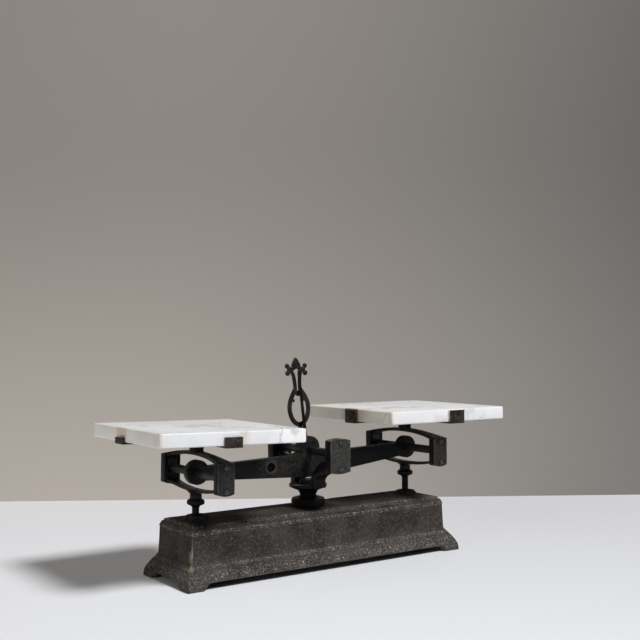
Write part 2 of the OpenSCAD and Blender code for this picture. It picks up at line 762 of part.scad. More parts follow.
module needle() {
    color(dark_iron) on_beam() translate([needle_x, beam_thick / 2 + needle_thick / 2, needle_z])
        rotate([0, -needle_lean, 0]) difference() {
            union() {
                disc_y(needle_w, needle_thick);
                along_y(needle_thick) polygon([[-needle_w / 2, 0], [needle_w / 2, 0],
                                               [needle_tip_w / 2, needle_l - 6], [0, needle_l],
                                               [-needle_tip_w / 2, needle_l - 6]]);
            }
            disc_y(screw_r, 2 * needle_thick);
        }
}

module needle_screw() {
    color(steel) on_beam() translate([needle_x, beam_thick / 2 + needle_thick, needle_z])
        rotate([-90, 0, 0]) screw(screw_head_r, screw_r, needle_thick + 6);
}

// Upper and lower arch, seen from the end of the beam
module arch_outline() {
    ts = [for (i = [-steps:steps]) i / steps];
    upper = [for (t = ts) [t * (end_reach + end_housing_d), upper_crown - upper_fall * t * t]];
    lower = [for (t = ts) [t * (end_reach + cut / 2), lower_rise * t * t - lower_crown]];
    polygon(concat(upper, [for (p = flip(upper)) p + [0, arch_thick]]));
    polygon(concat(lower, [for (p = flip(lower)) p - [0, arch_thick - 1]]));
}

// Both arches seen from above, which widen towards the housings
module arch_plan() {
    reach = end_reach + end_housing_d;
    edge = [for (i = [-steps:steps]) let (t = i / steps)
            [(arch_w + (end_housing_w - arch_w) * pow(t, 4)) / 2, t * reach]];
    polygon(concat(edge, mirrored(edge)));
}

module carrier_frame(side) {
    color(dark_iron) on_carrier(side) difference() {
        union() {
            intersection() {
                along_x(end_housing_w) arch_outline();
                translate([0, 0, -2 * lower_crown]) linear_extrude(4 * lower_crown) arch_plan();
            }
            for (side_y = [front, back]) {
                housing(side_y, end_reach, end_housing_w, end_housing_d, end_housing_low, end_high, 0);
            }
            translate([0, 0, upper_crown + 2]) cylinder(r = post_r, h = cross_z - upper_crown - 2);
            rotate_extrude() polygon([[0, 2 - knob_top], [neck_r, 2 - knob_top],
                                      [neck_r, -lower_crown - arch_thick - 2],
                                      [neck_r + 1.2, -lower_crown - arch_thick],
                                      [neck_r + 4, -lower_crown - arch_thick + 2],
                                      [0, -lower_crown - arch_thick + 2]]);
        }
        for (side_y = [front, back]) {
            pocket(side_y, end_reach, end_housing_d);
        }
        cover_screw_holes(end_reach + end_housing_d, end_housing_low, end_high, end_screw_inset);
        translate([0, 0, cross_z - 10]) cylinder(r = screw_r, h = 20);
        translate([0, 0, -knob_top]) cylinder(r = rod_r, h = 8);
    }
}

// Knob and rod of a stem, whose spigot goes up into the frame
module stem(side) {
    low = -knob_top - knob_h;
    color(dark_iron) on_carrier(side)
        rotate_extrude() polygon([[0, 8 - knob_top], [rod_r, 8 - knob_top], [rod_r, 2 - knob_top],
                                  [neck_r, 2 - knob_top], [neck_r, -knob_top],
                                  [knob_r - 0.8, -knob_top - 2], [knob_r, -knob_top - 3], [knob_r, low + 1],
                                  [knob_r - 1, low], [rod_r + 2, low - 1.5], [rod_r, low - 4],
                                  [rod_r, fork_h - socket_h - stem_l], [0, fork_h - socket_h - stem_l]]);
}

// Fork screwed on a stem's foot, with its pin's axis at the origin
module stem_fork(side) {
    color(dark_iron) on_carrier(side) translate([0, 0, -stem_l]) difference() {
        union() {
            translate([-fork_half_l, -fork_half_w, 0]) cube([2 * fork_half_l, 2 * fork_half_w, fork_h]);
            disc_y(fork_half_l, 2 * fork_half_w);
        }
        translate([-fork_half_l - cut, -stay_thick / 2 - side_gap, -fork_half_l - cut])
            cube([2 * (fork_half_l + cut), stay_thick + 2 * side_gap, fork_half_l + cut + fork_rise]);
        translate([0, 0, fork_h - socket_h]) cylinder(r = rod_r, h = socket_h + cut);
        disc_y(stem_pin_r, 3 * fork_half_w);
    }
}

module stem_pin(side) {
    color(steel) on_carrier(side) translate([0, 0, -stem_l]) union() {
        disc_y(stem_pin_r, 2 * fork_half_w);
        for (side_y = [front, back]) {
            translate([0, side_y * (fork_half_w + 0.75), 0]) disc_y(stem_pin_r + 1.5, 1.5);
        }
    }
}

module end_bearing(side, side_y) {
    color(steel) on_carrier(side) bearing_block(side_y, end_reach, end_housing_d);
}

module end_cover(side, side_y) {
    color(steel) on_carrier(side)
        cover(side_y, end_reach + end_housing_d, end_housing_w, end_housing_low, end_high, 0,
              end_screw_inset);
}

module end_cover_screws(side) {
    color(steel) on_carrier(side)
        cover_screws(end_reach + end_housing_d, end_housing_low, end_high, end_screw_inset);
}

// Sideways step of a turned strap's end
function strap_step(half, turn, offset, end) = tan(turn) * (end * (half + tab_gap + strap_thick) + offset);

// One strap of a cross, drawn along X and turned under its tabs
module strap_outline(half, turn, offset) {
    for (end = [-1, 1]) {
        reach = end * (half + tab_gap + strap_thick / 2) + offset;
        step = strap_step(half, turn, offset, end);
        polygon([[0, -strap_w / 2], [reach, step - strap_w / 2], [reach, step + strap_w / 2],
                 [0, strap_w / 2]]);
    }
}

// The two tabs bent up from a strap's ends
module strap_tabs(half, turn, offset, heights) {
    for (end = [-1, 1]) {
        reach = end * (half + tab_gap) + offset;
        step = strap_step(half, turn, offset, end);
        translate([end < 0 ? reach - strap_thick : reach, step - strap_w / 2 - tab_lip, cross_z])
            cube([strap_thick, strap_w + 2 * tab_lip, strap_thick + heights[end < 0 ? 0 : 1]]);
    }
}

module plate_cross(side) {
    half = plate_half(side);
    color(dark_iron) on_carrier(side) difference() {
        union() {
            translate([0, 0, cross_z]) linear_extrude(strap_thick) {
                translate([0, plate_y(side)]) strap_outline(half, -long_turn(side), 0);
                rotate(90) strap_outline(half, -short_turn(side), plate_y(side));
                circle(0.8 * strap_w);
            }
            translate([0, plate_y(side), 0]) strap_tabs(half, -long_turn(side), 0, long_tabs(side));
            rotate([0, 0, 90]) strap_tabs(half, -short_turn(side), plate_y(side), short_tabs(side));
        }
        translate([0, 0, cross_z - cut]) cylinder(r = screw_r, h = strap_thick + 2 * cut);
        translate([0, 0, cross_z + strap_thick - 1.6]) cylinder(r1 = screw_r, r2 = screw_r + 2.2, h = 1.6);
    }
}

module cross_screw(side) {
    color(steel) on_carrier(side) union() {
        translate([0, 0, cross_z + strap_thick - 1.6]) cylinder(r1 = screw_r, r2 = screw_r + 2.2, h = 1.6);
        translate([0, 0, cross_z - 8]) cylinder(r = screw_r, h = 8 + strap_thick - 1.6);
    }
}

module marble_plate(side) {
    inner = plate_half(side) - plate_corner_r;
    color(marble) on_carrier(side) translate([0, plate_y(side), plate_rise]) linear_extrude(plate_thick) {
        square([plate_side(side), 2 * inner], center = true);
        square([2 * inner, plate_side(side)], center = true);
        for (x = [-inner, inner], y = [-inner, inner]) {
            translate([x, y]) circle(plate_corner_r);
        }
    }
}

// The stay's ends meet the stems' pins at rest
module lower_stay() {
    ends = [pin_at(left), pin_at(right)];
    half = stay_h / 2;
    color(dark_iron) difference() {
        union() {
            along_y(stay_thick) polygon([ends[0] + [0, -half], [0, stay_z - half], ends[1] + [0, -half],
                                         ends[1] + [0, half], [0, stay_z + half], ends[0] + [0, half]]);
            for (p = ends) {
                translate([p[0], 0, p[1]]) disc_y(half, stay_thick);
            }
            translate([0, 0, stay_z]) disc_y(half + 2, 2 * (bracket_in - side_gap));
        }
        translate([0, 0, stay_z]) disc_y(stay_pin_r + running_gap, 3 * bracket_in);
        for (p = ends) {
            translate([p[0], 0, p[1]]) disc_y(stem_pin_r + open_gap, 3 * stay_thick);
        }
    }
}

base_casting();
guide_collar(left);  // left_guide_collar
guide_collar(right);  // right_guide_collar
column();
yoke();
column_bolt();
stay_bracket();
stay_pin();
lyre_bracket();
lyre();
lyre_screws();
centre_bearing(front);  // front_centre_bearing
centre_bearing(back);  // back_centre_bearing
centre_cover(front);  // front_centre_cover
centre_cover(back);  // back_centre_cover
centre_cover_screws();
beam();
tare_plug();
centre_knife();
end_knife(left);  // left_knife
end_knife(right);  // right_knife
needle();
needle_screw();
carrier_frame(left);  // left_carrier_frame
stem(left);  // left_stem
stem_fork(left);  // left_stem_fork
stem_pin(left);  // left_stem_pin
end_bearing(left, front);  // left_front_bearing
end_bearing(left, back);  // left_back_bearing
end_cover(left, front);  // left_front_cover
end_cover(left, back);  // left_back_cover
end_cover_screws(left);  // left_cover_screws
plate_cross(left);  // left_plate_cross
cross_screw(left);  // left_cross_screw
marble_plate(left);  // left_marble_plate
carrier_frame(right);  // right_carrier_frame
stem(right);  // right_stem
stem_fork(right);  // right_stem_fork
stem_pin(right);  // right_stem_pin
end_bearing(right, front);  // right_front_bearing
end_bearing(right, back);  // right_back_bearing
end_cover(right, front);  // right_front_cover
end_cover(right, back);  // right_back_cover
end_cover_screws(right);  // right_cover_screws
plate_cross(right);  // right_plate_cross
cross_screw(right);  // right_cross_screw
marble_plate(right);  // right_marble_plate
lower_stay();
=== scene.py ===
from math import cos, radians, sin

import bmesh
import bpy
import numpy as np
from mathutils import Matrix, Vector
from mathutils.geometry import delaunay_2d_cdt


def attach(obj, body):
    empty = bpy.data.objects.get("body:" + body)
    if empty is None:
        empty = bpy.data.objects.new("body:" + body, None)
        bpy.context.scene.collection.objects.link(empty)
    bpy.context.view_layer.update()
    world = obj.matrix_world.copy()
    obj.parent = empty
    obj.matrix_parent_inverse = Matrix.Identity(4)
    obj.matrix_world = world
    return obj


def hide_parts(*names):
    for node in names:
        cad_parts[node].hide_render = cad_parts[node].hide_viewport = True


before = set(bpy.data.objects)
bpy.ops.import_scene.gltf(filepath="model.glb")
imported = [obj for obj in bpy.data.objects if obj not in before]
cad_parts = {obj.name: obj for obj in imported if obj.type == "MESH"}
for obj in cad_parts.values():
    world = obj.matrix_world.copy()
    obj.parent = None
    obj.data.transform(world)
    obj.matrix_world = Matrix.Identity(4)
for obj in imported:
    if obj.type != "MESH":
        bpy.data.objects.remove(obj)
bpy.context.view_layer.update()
scene = bpy.context.scene
mm = 0.001
print("frame loaded")

# The part's own dimensions in mm, as in its source
dims = {
    "armLength": 178.0, "edgeDrop": 0.5, "restTilt": 1.6, "lean": {"left": 1.6, "right": 0.5},
    "baseHigh": 80.0, "pivotHigh": 152.5,
}
sides = {"left": -1, "right": 1}


# Places

# Turns points about the Y axis.
def aboutY(points, degrees):
    a = radians(degrees)
    p = np.asarray(points, float)
    return np.stack([p[..., 0] * cos(a) + p[..., 2] * sin(a), p[..., 1],
                     p[..., 2] * cos(a) - p[..., 0] * sin(a)], -1)


# From the beam's own axes, with the centre knife edge at the origin, to its pose at rest.
def onBeam(points):
    return aboutY(points, -dims["restTilt"]) + (0, 0, dims["pivotHigh"])


# Middle of an end knife's edge at rest.
def knifeEdge(side):
    return onBeam([sides[side] * dims["armLength"], 0, -dims["edgeDrop"]])


# From a carrier's own axes, with its knife edge at the origin, to its pose at rest.
def onCarrier(side):
    return lambda points: aboutY(points, dims["lean"][side]) + knifeEdge(side)


# Mesh tools

# Quads between neighbouring rows of a grid whose last column meets its first.
def rowFaces(rows, cols):
    i = np.arange(rows - 1)[:, None] * cols
    j = np.arange(cols)[None, :]
    k = (j + 1) % cols
    return np.stack([i + j, i + k, i + cols + k, i + cols + j], -1).reshape(-1, 4).tolist()


# Closed surface through rings of equal length, with flat ends.
def tube(rings):
    rings = np.asarray(rings, float)
    rows, cols = rings.shape[:2]
    faces = rowFaces(rows, cols)
    faces += [list(range(cols))[::-1], [(rows - 1) * cols + j for j in range(cols)]]
    return rings.reshape(-1, 3), faces


# Each corner of a line becomes a quadratic curve: (1-t)^2 start + 2t(1-t) corner + t^2 end. Its ends lie
# radius away from the corner, but at most 0.45 of the way to the next ones. An open line keeps its ends.
def softLine(points, radius, closed=False, steps=4):
    p = np.asarray(points, float)
    radii = np.array(np.broadcast_to(radius, len(p)), float)
    if not closed:
        radii[[0, -1]] = 0
    ends = []
    for shift in (1, -1):
        way = np.roll(p, shift, 0) - p
        far = np.linalg.norm(way, axis=1)
        ends.append(p + way * (np.minimum(radii, 0.45 * far) / far)[:, None])
    start, end = ends[0][:, None], ends[1][:, None]
    t = np.linspace(0, 1, steps + 1)[:, None]
    curves = (1 - t) ** 2 * start + 2 * t * (1 - t) * p[:, None] + t * t * end
    kept = (radii > 0)[:, None] | (np.arange(steps + 1) == 0)
    return curves[kept]


# Closed outline in a plane, moved inward by d along its corners' mitres. It runs counterclockwise.
def inset(outline, d):
    p = np.asarray(outline, float)
    a = p - np.roll(p, 1, 0)
    b = np.roll(p, -1, 0) - p
    a /= np.linalg.norm(a, axis=1)[:, None]
    b /= np.linalg.norm(b, axis=1)[:, None]
    na = np.stack([-a[:, 1], a[:, 0]], 1)
    nb = np.stack([-b[:, 1], b[:, 0]], 1)
    mitre = (na + nb) / np.maximum(1 + (na * nb).sum(1), 0.4)[:, None]
    return p + d * mitre


# Section of a plate's edge: steps inward and up, with quarter circles of radius r at both faces.
def rounded(thick, r, steps):
    t = np.linspace(0, np.pi / 2, steps + 1)
    low = np.stack([r - r * np.sin(t), r - r * np.cos(t)], 1)
    return np.concatenate([low, (0, thick) + low[::-1] * (1, -1)])


# Plate with rounded edges over an outline in X and Y, from z = 0 to z = thick.
def plate(outline, thick, r, steps=3):
    return tube([np.column_stack([inset(outline, step), np.full(len(outline), high)])
                 for step, high in rounded(thick, r, steps)])


# One ring per point (radius, height) of a profile: x = r cos a, y = r sin a, z = height.
def turned(profile, around):
    a = np.arange(around) * 2 * np.pi / around
    r, high = np.asarray(profile, float).T[:, :, None]
    return np.stack(np.broadcast_arrays(r * np.cos(a), r * np.sin(a), high), -1)


# Solid turned about Z.
def lathe(profile, around=64):
    return tube(turned(profile, around))


# Ring turned about Z: the profile's last point joins its first.
def ringLathe(profile, around=72):
    rings = turned([*profile, profile[0]], around)
    return rings.reshape(-1, 3), rowFaces(len(rings), around)


# Turns a plate drawn in X and Y so that it stands in X and Z, with its thickness along +Y.
def facingFront(points):
    p = np.asarray(points, float)
    return np.stack([p[:, 0], p[:, 2], p[:, 1]], 1)


# Bar along a line in X and Z. Its section, a rectangle with corners of radius r, has its width in that
# plane, along the line's normal, and its thickness along Y.
def bar(path, width, thick, r):
    p = np.asarray(path, float)
    way = np.gradient(p, axis=0)
    way /= np.linalg.norm(way, axis=1)[:, None]
    normal = np.stack([-way[:, 1], way[:, 0]], 1)
    corner = np.repeat([(1, 1), (-1, 1), (-1, -1), (1, -1)], 4, 0)
    a = np.radians(np.repeat([0, 90, 180, 270], 4) + np.tile([0, 30, 60, 90], 4))
    across = corner[:, 0] * (width / 2 - r) + r * np.cos(a)
    deep = corner[:, 1] * (thick / 2 - r) + r * np.sin(a)
    rings = np.broadcast_arrays(p[:, :1] + across * normal[:, :1], deep, p[:, 1:] + across * normal[:, 1:])
    return tube(np.stack(rings, -1))


# One surface from several.
def together(*parts):
    verts, faces, start = [], [], 0
    for v, f in parts:
        verts.append(np.asarray(v, float))
        faces += [[start + i for i in face] for face in f]
        start += len(v)
    return np.concatenate(verts), faces


# A surface at another place.
def moved(part, place):
    return place(part[0]), part[1]


# New object in the scene.
def newObject(name, data):
    obj = bpy.data.objects.new(name, data)
    bpy.context.collection.objects.link(obj)
    return obj


# Merges points closer than merge metres, turns faces outward and keeps edges above the angle sharp crisp.
def finishMesh(obj, material, sharp, merge):
    bm = bmesh.new()
    bm.from_mesh(obj.data)
    bmesh.ops.remove_doubles(bm, verts=bm.verts, dist=merge)
    bmesh.ops.recalc_face_normals(bm, faces=bm.faces)
    for edge in bm.edges:
        edge.smooth = len(edge.link_faces) == 2 and edge.calc_face_angle() < radians(sharp)
    for face in bm.faces:
        face.smooth = True
    bm.to_mesh(obj.data)
    bm.free()
    obj.data.materials.clear()
    obj.data.materials.append(material)


# New object from a surface in mm, which stands for CAD nodes.
def piece(name, part, material, body, slot, *nodes, sharp=35):
    verts, faces = part
    mesh = bpy.data.meshes.new(name)
    mesh.from_pydata((np.asarray(verts) * mm).tolist(), [], faces)
    obj = newObject(name, mesh)
    finishMesh(obj, material, sharp, merge=0.001 * mm)
    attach(obj, body)
    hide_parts(*nodes)


# Angles in degrees: below flat two facets join, above crease an edge is bevelled, above sharp it is crisp.
# Points closer than merge mm become one
softForm = {"flat": 1, "crease": 28, "sharp": 40, "segments": 2, "profile": 0.6, "merge": 0.002}


# Copy of a CAD node with its facets joined and its edges bevelled by width in mm.
def softened(node, material, body, width):
    f = softForm
    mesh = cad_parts[node].data.copy()
    mesh.name = node + "Soft"
    obj = newObject(node + "Soft", mesh)
    bm = bmesh.new()
    bm.from_mesh(mesh)
    bmesh.ops.remove_doubles(bm, verts=bm.verts, dist=f["merge"] * mm)
    bmesh.ops.dissolve_limit(bm, angle_limit=radians(f["flat"]), verts=bm.verts, edges=bm.edges)
    edges = [e for e in bm.edges if len(e.link_faces) == 2 and e.calc_face_angle() > radians(f["crease"])]
    bmesh.ops.bevel(bm, geom=edges, offset=width * mm, segments=f["segments"], profile=f["profile"],
                    affect="EDGES", clamp_overlap=True, loop_slide=False)
    bm.to_mesh(mesh)
    bm.free()
    finishMesh(obj, material, f["sharp"], merge=0.0001 * mm)
    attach(obj, body)
    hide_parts(node)


# Node tools

# Links or sets a node's inputs.
def feed(tree, node, links):
    for key, value in links.items():
        if isinstance(value, bpy.types.NodeSocket):
            tree.links.new(value, node.inputs[key])
        else:
            node.inputs[key].default_value = value


# New node with its settings and inputs.
def put(tree, kind, links=None, **settings):
    node = tree.nodes.new(kind)
    for key, value in settings.items():
        setattr(node, key, value)
    feed(tree, node, links or {})
    return node


# Sum on numbers, such as ADD.
def calc(tree, operation, a, b=0.0, clamp=False):
    return put(tree, "ShaderNodeMath", {0: a, 1: b}, operation=operation, use_clamp=clamp).outputs[0]


# Product of two numbers.
def times(tree, a, b, clamp=False):
    return calc(tree, "MULTIPLY", a, b, clamp)


# Sum on vectors, such as ADD; out is 0 for a vector and "Value" for a number.
def vectorCalc(tree, operation, *values, out=0):
    return put(tree, "ShaderNodeVectorMath", dict(enumerate(values)), operation=operation).outputs[out]


# Turns low to high into start to end along a smooth step.
def ramp(tree, value, low, high, start=0.0, end=1.0):
    return put(tree, "ShaderNodeMapRange", {"Value": value, "From Min": low, "From Max": high,
                                            "To Min": start, "To Max": end},
               interpolation_type="SMOOTHSTEP").outputs[0]


# Colour a where share is 0 and b where it is 1. Each is a socket or (red, green, blue).
def mixColour(tree, share, a, b, blend="MIX"):
    a, b = ((*c, 1) if isinstance(c, tuple) else c for c in (a, b))
    return put(tree, "ShaderNodeMix", {0: share, 6: a, 7: b}, data_type="RGBA", blend_type=blend,
               clamp_factor=True).outputs[2]


# Lays a tint over a colour where a mask is, as far as amount says.
def tinted(tree, colour, mask, amount, tint):
    return mixColour(tree, times(tree, mask, amount), colour, tint)


# Each noise: waves a metre, detail, roughness, distortion
noises = {
    "fine": (1100, 3, 0.7), "coarse": (420, 4, 0.7), "blotch": (38, 4, 0.6, 0.4),
    "wear": (130, 4, 0.65), "stain": (170, 4, 0.7), "line": (1500, 2, 0.6), "smear": (260, 3, 0.6),
    "warp": (9, 5, 0.6), "cloud": (16, 5, 0.62), "vein": (11, 4), "faint": (14, 3),
    "dots": (430, 4, 0.8), "patch": (45, 3, 0.6)}
# Strength of a noise in its effect
shares = {"fine": 0.5, "coarse": 0.5, "fineHeight": 0.4, "torn": 1.1, "warp": 0.12}
# Where the smooth step over each noise or other value begins and ends
spans = {
    "speckle": (0.5, 0.62), "blotch": (0.35, 0.7), "edge": (0.01, 0.16), "wear": (0.38, 0.62),
    "stain": (0.5, 1.5), "line": (0.3, 0.7), "smear": (0.3, 0.7), "cloud": (0.36, 0.68),
    "vein": (0.0, 0.035), "faint": (0.42, 0.62), "dots": (0.47, 0.66), "patch": (0.3, 0.62),
    "facing": (0.6, 1.0), "settled": (0.1, 0.8)}


# Cloudy noise of a kind named above.
def noise(tree, vector, kind, out="Fac"):
    values = dict(zip(("Scale", "Detail", "Roughness", "Distortion"), noises[kind]), Vector=vector)
    return put(tree, "ShaderNodeTexNoise", values).outputs[out]


# The same noise along its smooth step.
def stepped(tree, vector, kind, start=0.0, end=1.0):
    return ramp(tree, noise(tree, vector, kind), *spans[kind], start, end)


# New shader group with the socket Vector and other ones of numbers or vectors. It gives numbers out.
def group(name, inputs, outputs):
    tree = bpy.data.node_groups.new(name, "ShaderNodeTree")
    for label, value in {"Vector": (0, 0, 0), **inputs}.items():
        kind = "NodeSocketVector" if isinstance(value, tuple) else "NodeSocketFloat"
        tree.interface.new_socket(label, in_out="INPUT", socket_type=kind).default_value = value
    for label in outputs:
        tree.interface.new_socket(label, in_out="OUTPUT", socket_type="NodeSocketFloat")
    return tree, tree.nodes.new("NodeGroupInput").outputs, tree.nodes.new("NodeGroupOutput")


# A shared effect in a material, with its inputs by name.
def use(tree, effect, **links):
    return put(tree, "ShaderNodeGroup", links, node_tree=shared[effect]).outputs


# Shared effects

# Sand-cast skin: fine speckle, broad blotches and a height for bump.
def makeGrain():
    tree, given, out = group("castGrain", {"Size": 1.0}, ("Speckle", "Blotch", "Height"))
    scaled = put(tree, "ShaderNodeVectorMath", {0: given["Vector"], "Scale": given["Size"]},
                 operation="SCALE").outputs[0]
    fine, coarse = noise(tree, scaled, "fine"), noise(tree, scaled, "coarse")
    both = calc(tree, "ADD", times(tree, fine, shares["fine"]), times(tree, coarse, shares["coarse"]))
    feed(tree, out, {"Speckle": ramp(tree, both, *spans["speckle"]),
                     "Blotch": stepped(tree, scaled, "blotch"),
                     "Height": calc(tree, "ADD", times(tree, fine, shares["fineHeight"]), coarse)})
    return tree


# Mask along outer edges, broken up by noise.
def makeWear():
    tree, given, out = group("wornEdges", {"Radius": 0.001, "Amount": 1.0}, ("Mask",))
    bent = put(tree, "ShaderNodeBevel", {"Radius": given["Radius"]}, samples=4).outputs[0]
    flat = put(tree, "ShaderNodeNewGeometry").outputs["Normal"]
    dot = vectorCalc(tree, "DOT_PRODUCT", bent, flat, out="Value")
    edge = ramp(tree, calc(tree, "SUBTRACT", 1.0, dot), *spans["edge"])
    mask = times(tree, edge, stepped(tree, given["Vector"], "wear"))
    feed(tree, out, {"Mask": times(tree, mask, given["Amount"], clamp=True)})
    return tree


# Ragged stain that fades over Radius from a box of half size Half round Centre.
def makeStain():
    tree, given, out = group("rustStain", {"Centre": (0, 0, 0), "Half": (0, 0, 0), "Radius": 0.01},
                             ("Mask",))
    offset = vectorCalc(tree, "SUBTRACT", given["Vector"], given["Centre"])
    past = vectorCalc(tree, "SUBTRACT", vectorCalc(tree, "ABSOLUTE", offset), given["Half"])
    away = vectorCalc(tree, "LENGTH", vectorCalc(tree, "MAXIMUM", past, (0, 0, 0)), out="Value")
    share = calc(tree, "DIVIDE", away, given["Radius"])
    torn = times(tree, noise(tree, given["Vector"], "stain"), shares["torn"])
    feed(tree, out, {"Mask": ramp(tree, calc(tree, "ADD", share, torn), *spans["stain"], 1.0, 0.0)})
    return tree


# Fine lines along one axis of the stretched vector.
def makeBrushed():
    tree, given, out = group("brushed", {"Stretch": (1, 1, 0.05)}, ("Line", "Smear"))
    drawn = vectorCalc(tree, "MULTIPLY", given["Vector"], given["Stretch"])
    feed(tree, out, {"Line": stepped(tree, drawn, "line"), "Smear": stepped(tree, drawn, "smear")})
    return tree


# Soft grey clouds and a few thin veins of marble.
def makeVeins():
    tree, given, out = group("marbleVeins", {}, ("Cloud", "Vein"))
    warp = noise(tree, given["Vector"], "warp", out="Color")
    bent = vectorCalc(tree, "MULTIPLY_ADD", warp, (shares["warp"],) * 3, given["Vector"])
    thin = calc(tree, "ABSOLUTE", calc(tree, "SUBTRACT", noise(tree, bent, "vein"), 0.5))
    vein = times(tree, ramp(tree, thin, *spans["vein"], 1.0, 0.0),
                 stepped(tree, given["Vector"], "faint"))
    feed(tree, out, {"Cloud": stepped(tree, bent, "cloud"), "Vein": vein})
    return tree


shared = {"grain": makeGrain(), "wear": makeWear(), "stain": makeStain(), "brushed": makeBrushed(),
          "veins": makeVeins()}


# Empty material with its shader and the object's own coordinates.
def newMaterial(name):
    made = bpy.data.materials.new(name)
    made.use_nodes = True
    tree = made.node_tree
    tree.nodes.clear()
    shader = put(tree, "ShaderNodeBsdfPrincipled")
    put(tree, "ShaderNodeOutputMaterial", {"Surface": shader.outputs[0]})
    place = put(tree, "ShaderNodeTexCoord").outputs["Object"]
    return made, tree, shader, place


# Lays a look's worn edges and stains over a colour, and gives it with the edges' mask. Each stain is
# (centre, half size, reach, colour, amount), with lengths in metres.
def worn(tree, place, colour, look):
    edge = use(tree, "wear", Vector=place, Radius=look["wearWidth"], Amount=look["wear"])["Mask"]
    colour = mixColour(tree, edge, colour, look["bare"])
    for centre, half, reach, tint, amount in look.get("spots", ()):
        mask = use(tree, "stain", Vector=place, Centre=centre, Half=half, Radius=reach)["Mask"]
        colour = tinted(tree, colour, mask, amount, tint)
    return colour, edge


# Cast or forged iron: blotched dark skin, lighter speckle, bands of pale dots as painted glints, worn
# edges, dust with painted light on top, stains.
def ironMaterial(name, look):
    made, tree, shader, place = newMaterial(name)
    grain = use(tree, "grain", Vector=place, Size=look["grainSize"])
    height = grain["Height"]
    colour = mixColour(tree, grain["Blotch"], look["dark"], look["mid"])
    colour = tinted(tree, colour, grain["Speckle"], look["speckle"], look["grainColour"])
    # Pale dots in height bands: painted glints and highlights, over bumps of the rough skin
    if look.get("peened"):
        high = put(tree, "ShaderNodeSeparateXYZ", {0: place}).outputs["Z"]
        share = 0.0
        for low, top, soft, amount in look["peened"]:
            band = times(tree, ramp(tree, high, low - soft, low + soft),
                         ramp(tree, high, top - soft, top + soft, amount, 0.0))
            share = calc(tree, "MAXIMUM", share, band)
        dots = stepped(tree, place, "dots")
        patchy = stepped(tree, place, "patch", start=0.5)
        glints = times(tree, times(tree, dots, patchy), share)
        colour = mixColour(tree, glints, colour, look["dotColour"])
        height = calc(tree, "ADD", height, times(tree, dots, share))
    if look.get("scratch"):
        slanted = put(tree, "ShaderNodeVectorRotate", {"Vector": place, "Angle": radians(look["slant"])},
                      rotation_type="Y_AXIS").outputs[0]
        lines = use(tree, "brushed", Vector=slanted, Stretch=look["stretch"])
        marks = times(tree, calc(tree, "POWER", lines["Line"], 3.0), lines["Smear"])
        colour = tinted(tree, colour, marks, look["scratch"], look["bare"])
    # Dust, and painted light, on faces turned upward
    if look.get("dust"):
        facing = put(tree, "ShaderNodeSeparateXYZ",
                     {0: put(tree, "ShaderNodeNewGeometry").outputs["Normal"]}).outputs["Z"]
        settled = times(tree, ramp(tree, facing, *spans["facing"], 0.0, look["dust"]),
                        ramp(tree, grain["Blotch"], *spans["settled"]))
        colour = mixColour(tree, settled, colour, look["dustColour"])
    colour, edge = worn(tree, place, colour, look)
    rough = ramp(tree, grain["Blotch"], 0, 1, *look["rough"])
    rough = calc(tree, "SUBTRACT", rough, times(tree, edge, look["polish"]))
    bump = put(tree, "ShaderNodeBump", {"Height": height, "Strength": look["bump"],
                                        "Distance": look["bumpHeight"]}).outputs[0]
    feed(tree, shader, {"Base Color": colour, "Roughness": rough, "Normal": bump,
                        "Metallic": look["metal"], "Specular IOR Level": look["shine"]})
    return made


# Worked steel: drawn lines, smears of oxide, brighter edges.
def steelMaterial(name, look):
    made, tree, shader, place = newMaterial(name)
    lines = use(tree, "brushed", Vector=place, Stretch=look["stretch"])
    grain = use(tree, "grain", Vector=place, Size=look["grainSize"])
    colour = mixColour(tree, lines["Smear"], look["dark"], look["mid"])
    colour = tinted(tree, colour, lines["Line"], look["lines"], look["bright"])
    colour = tinted(tree, colour, grain["Speckle"], look["speckle"], look["spot"])
    colour, _ = worn(tree, place, colour, look)
    rough = ramp(tree, lines["Smear"], 0, 1, *look["rough"])
    bump = put(tree, "ShaderNodeBump", {"Height": lines["Line"], "Strength": look["bump"],
                                        "Distance": look["bumpHeight"]}).outputs[0]
    feed(tree, shader, {"Base Color": colour, "Roughness": rough, "Normal": bump,
                        "Metallic": look["metal"], "Specular IOR Level": look["shine"]})
    return made


# Marble: grey clouds and veins, chipped edges, stains.
def marbleMaterial(name, look):
    made, tree, shader, place = newMaterial(name)
    veins = use(tree, "veins", Vector=vectorCalc(tree, "ADD", place, look["shift"]))
    colour = tinted(tree, look["white"], veins["Cloud"], look["cloud"], look["grey"])
    colour = tinted(tree, colour, veins["Vein"], look["vein"], look["veinColour"])
    colour, _ = worn(tree, place, colour, look)
    rough = ramp(tree, veins["Cloud"], 0, 1, *look["rough"])
    feed(tree, shader, {"Base Color": colour, "Roughness": rough, "Subsurface Weight": look["glow"],
                        "Subsurface Radius": (look["glowDepth"],) * 3})
    return made


# Materials

# sootAndShade darkens places with soot and painted shade together, where parts shade each other
rust, straw, sootAndShade = (0.16, 0.07, 0.03), (0.33, 0.28, 0.2), (0.004, 0.004, 0.004)
brown, peach, cream = (0.1, 0.055, 0.03), (0.62, 0.36, 0.2), (0.52, 0.42, 0.29)
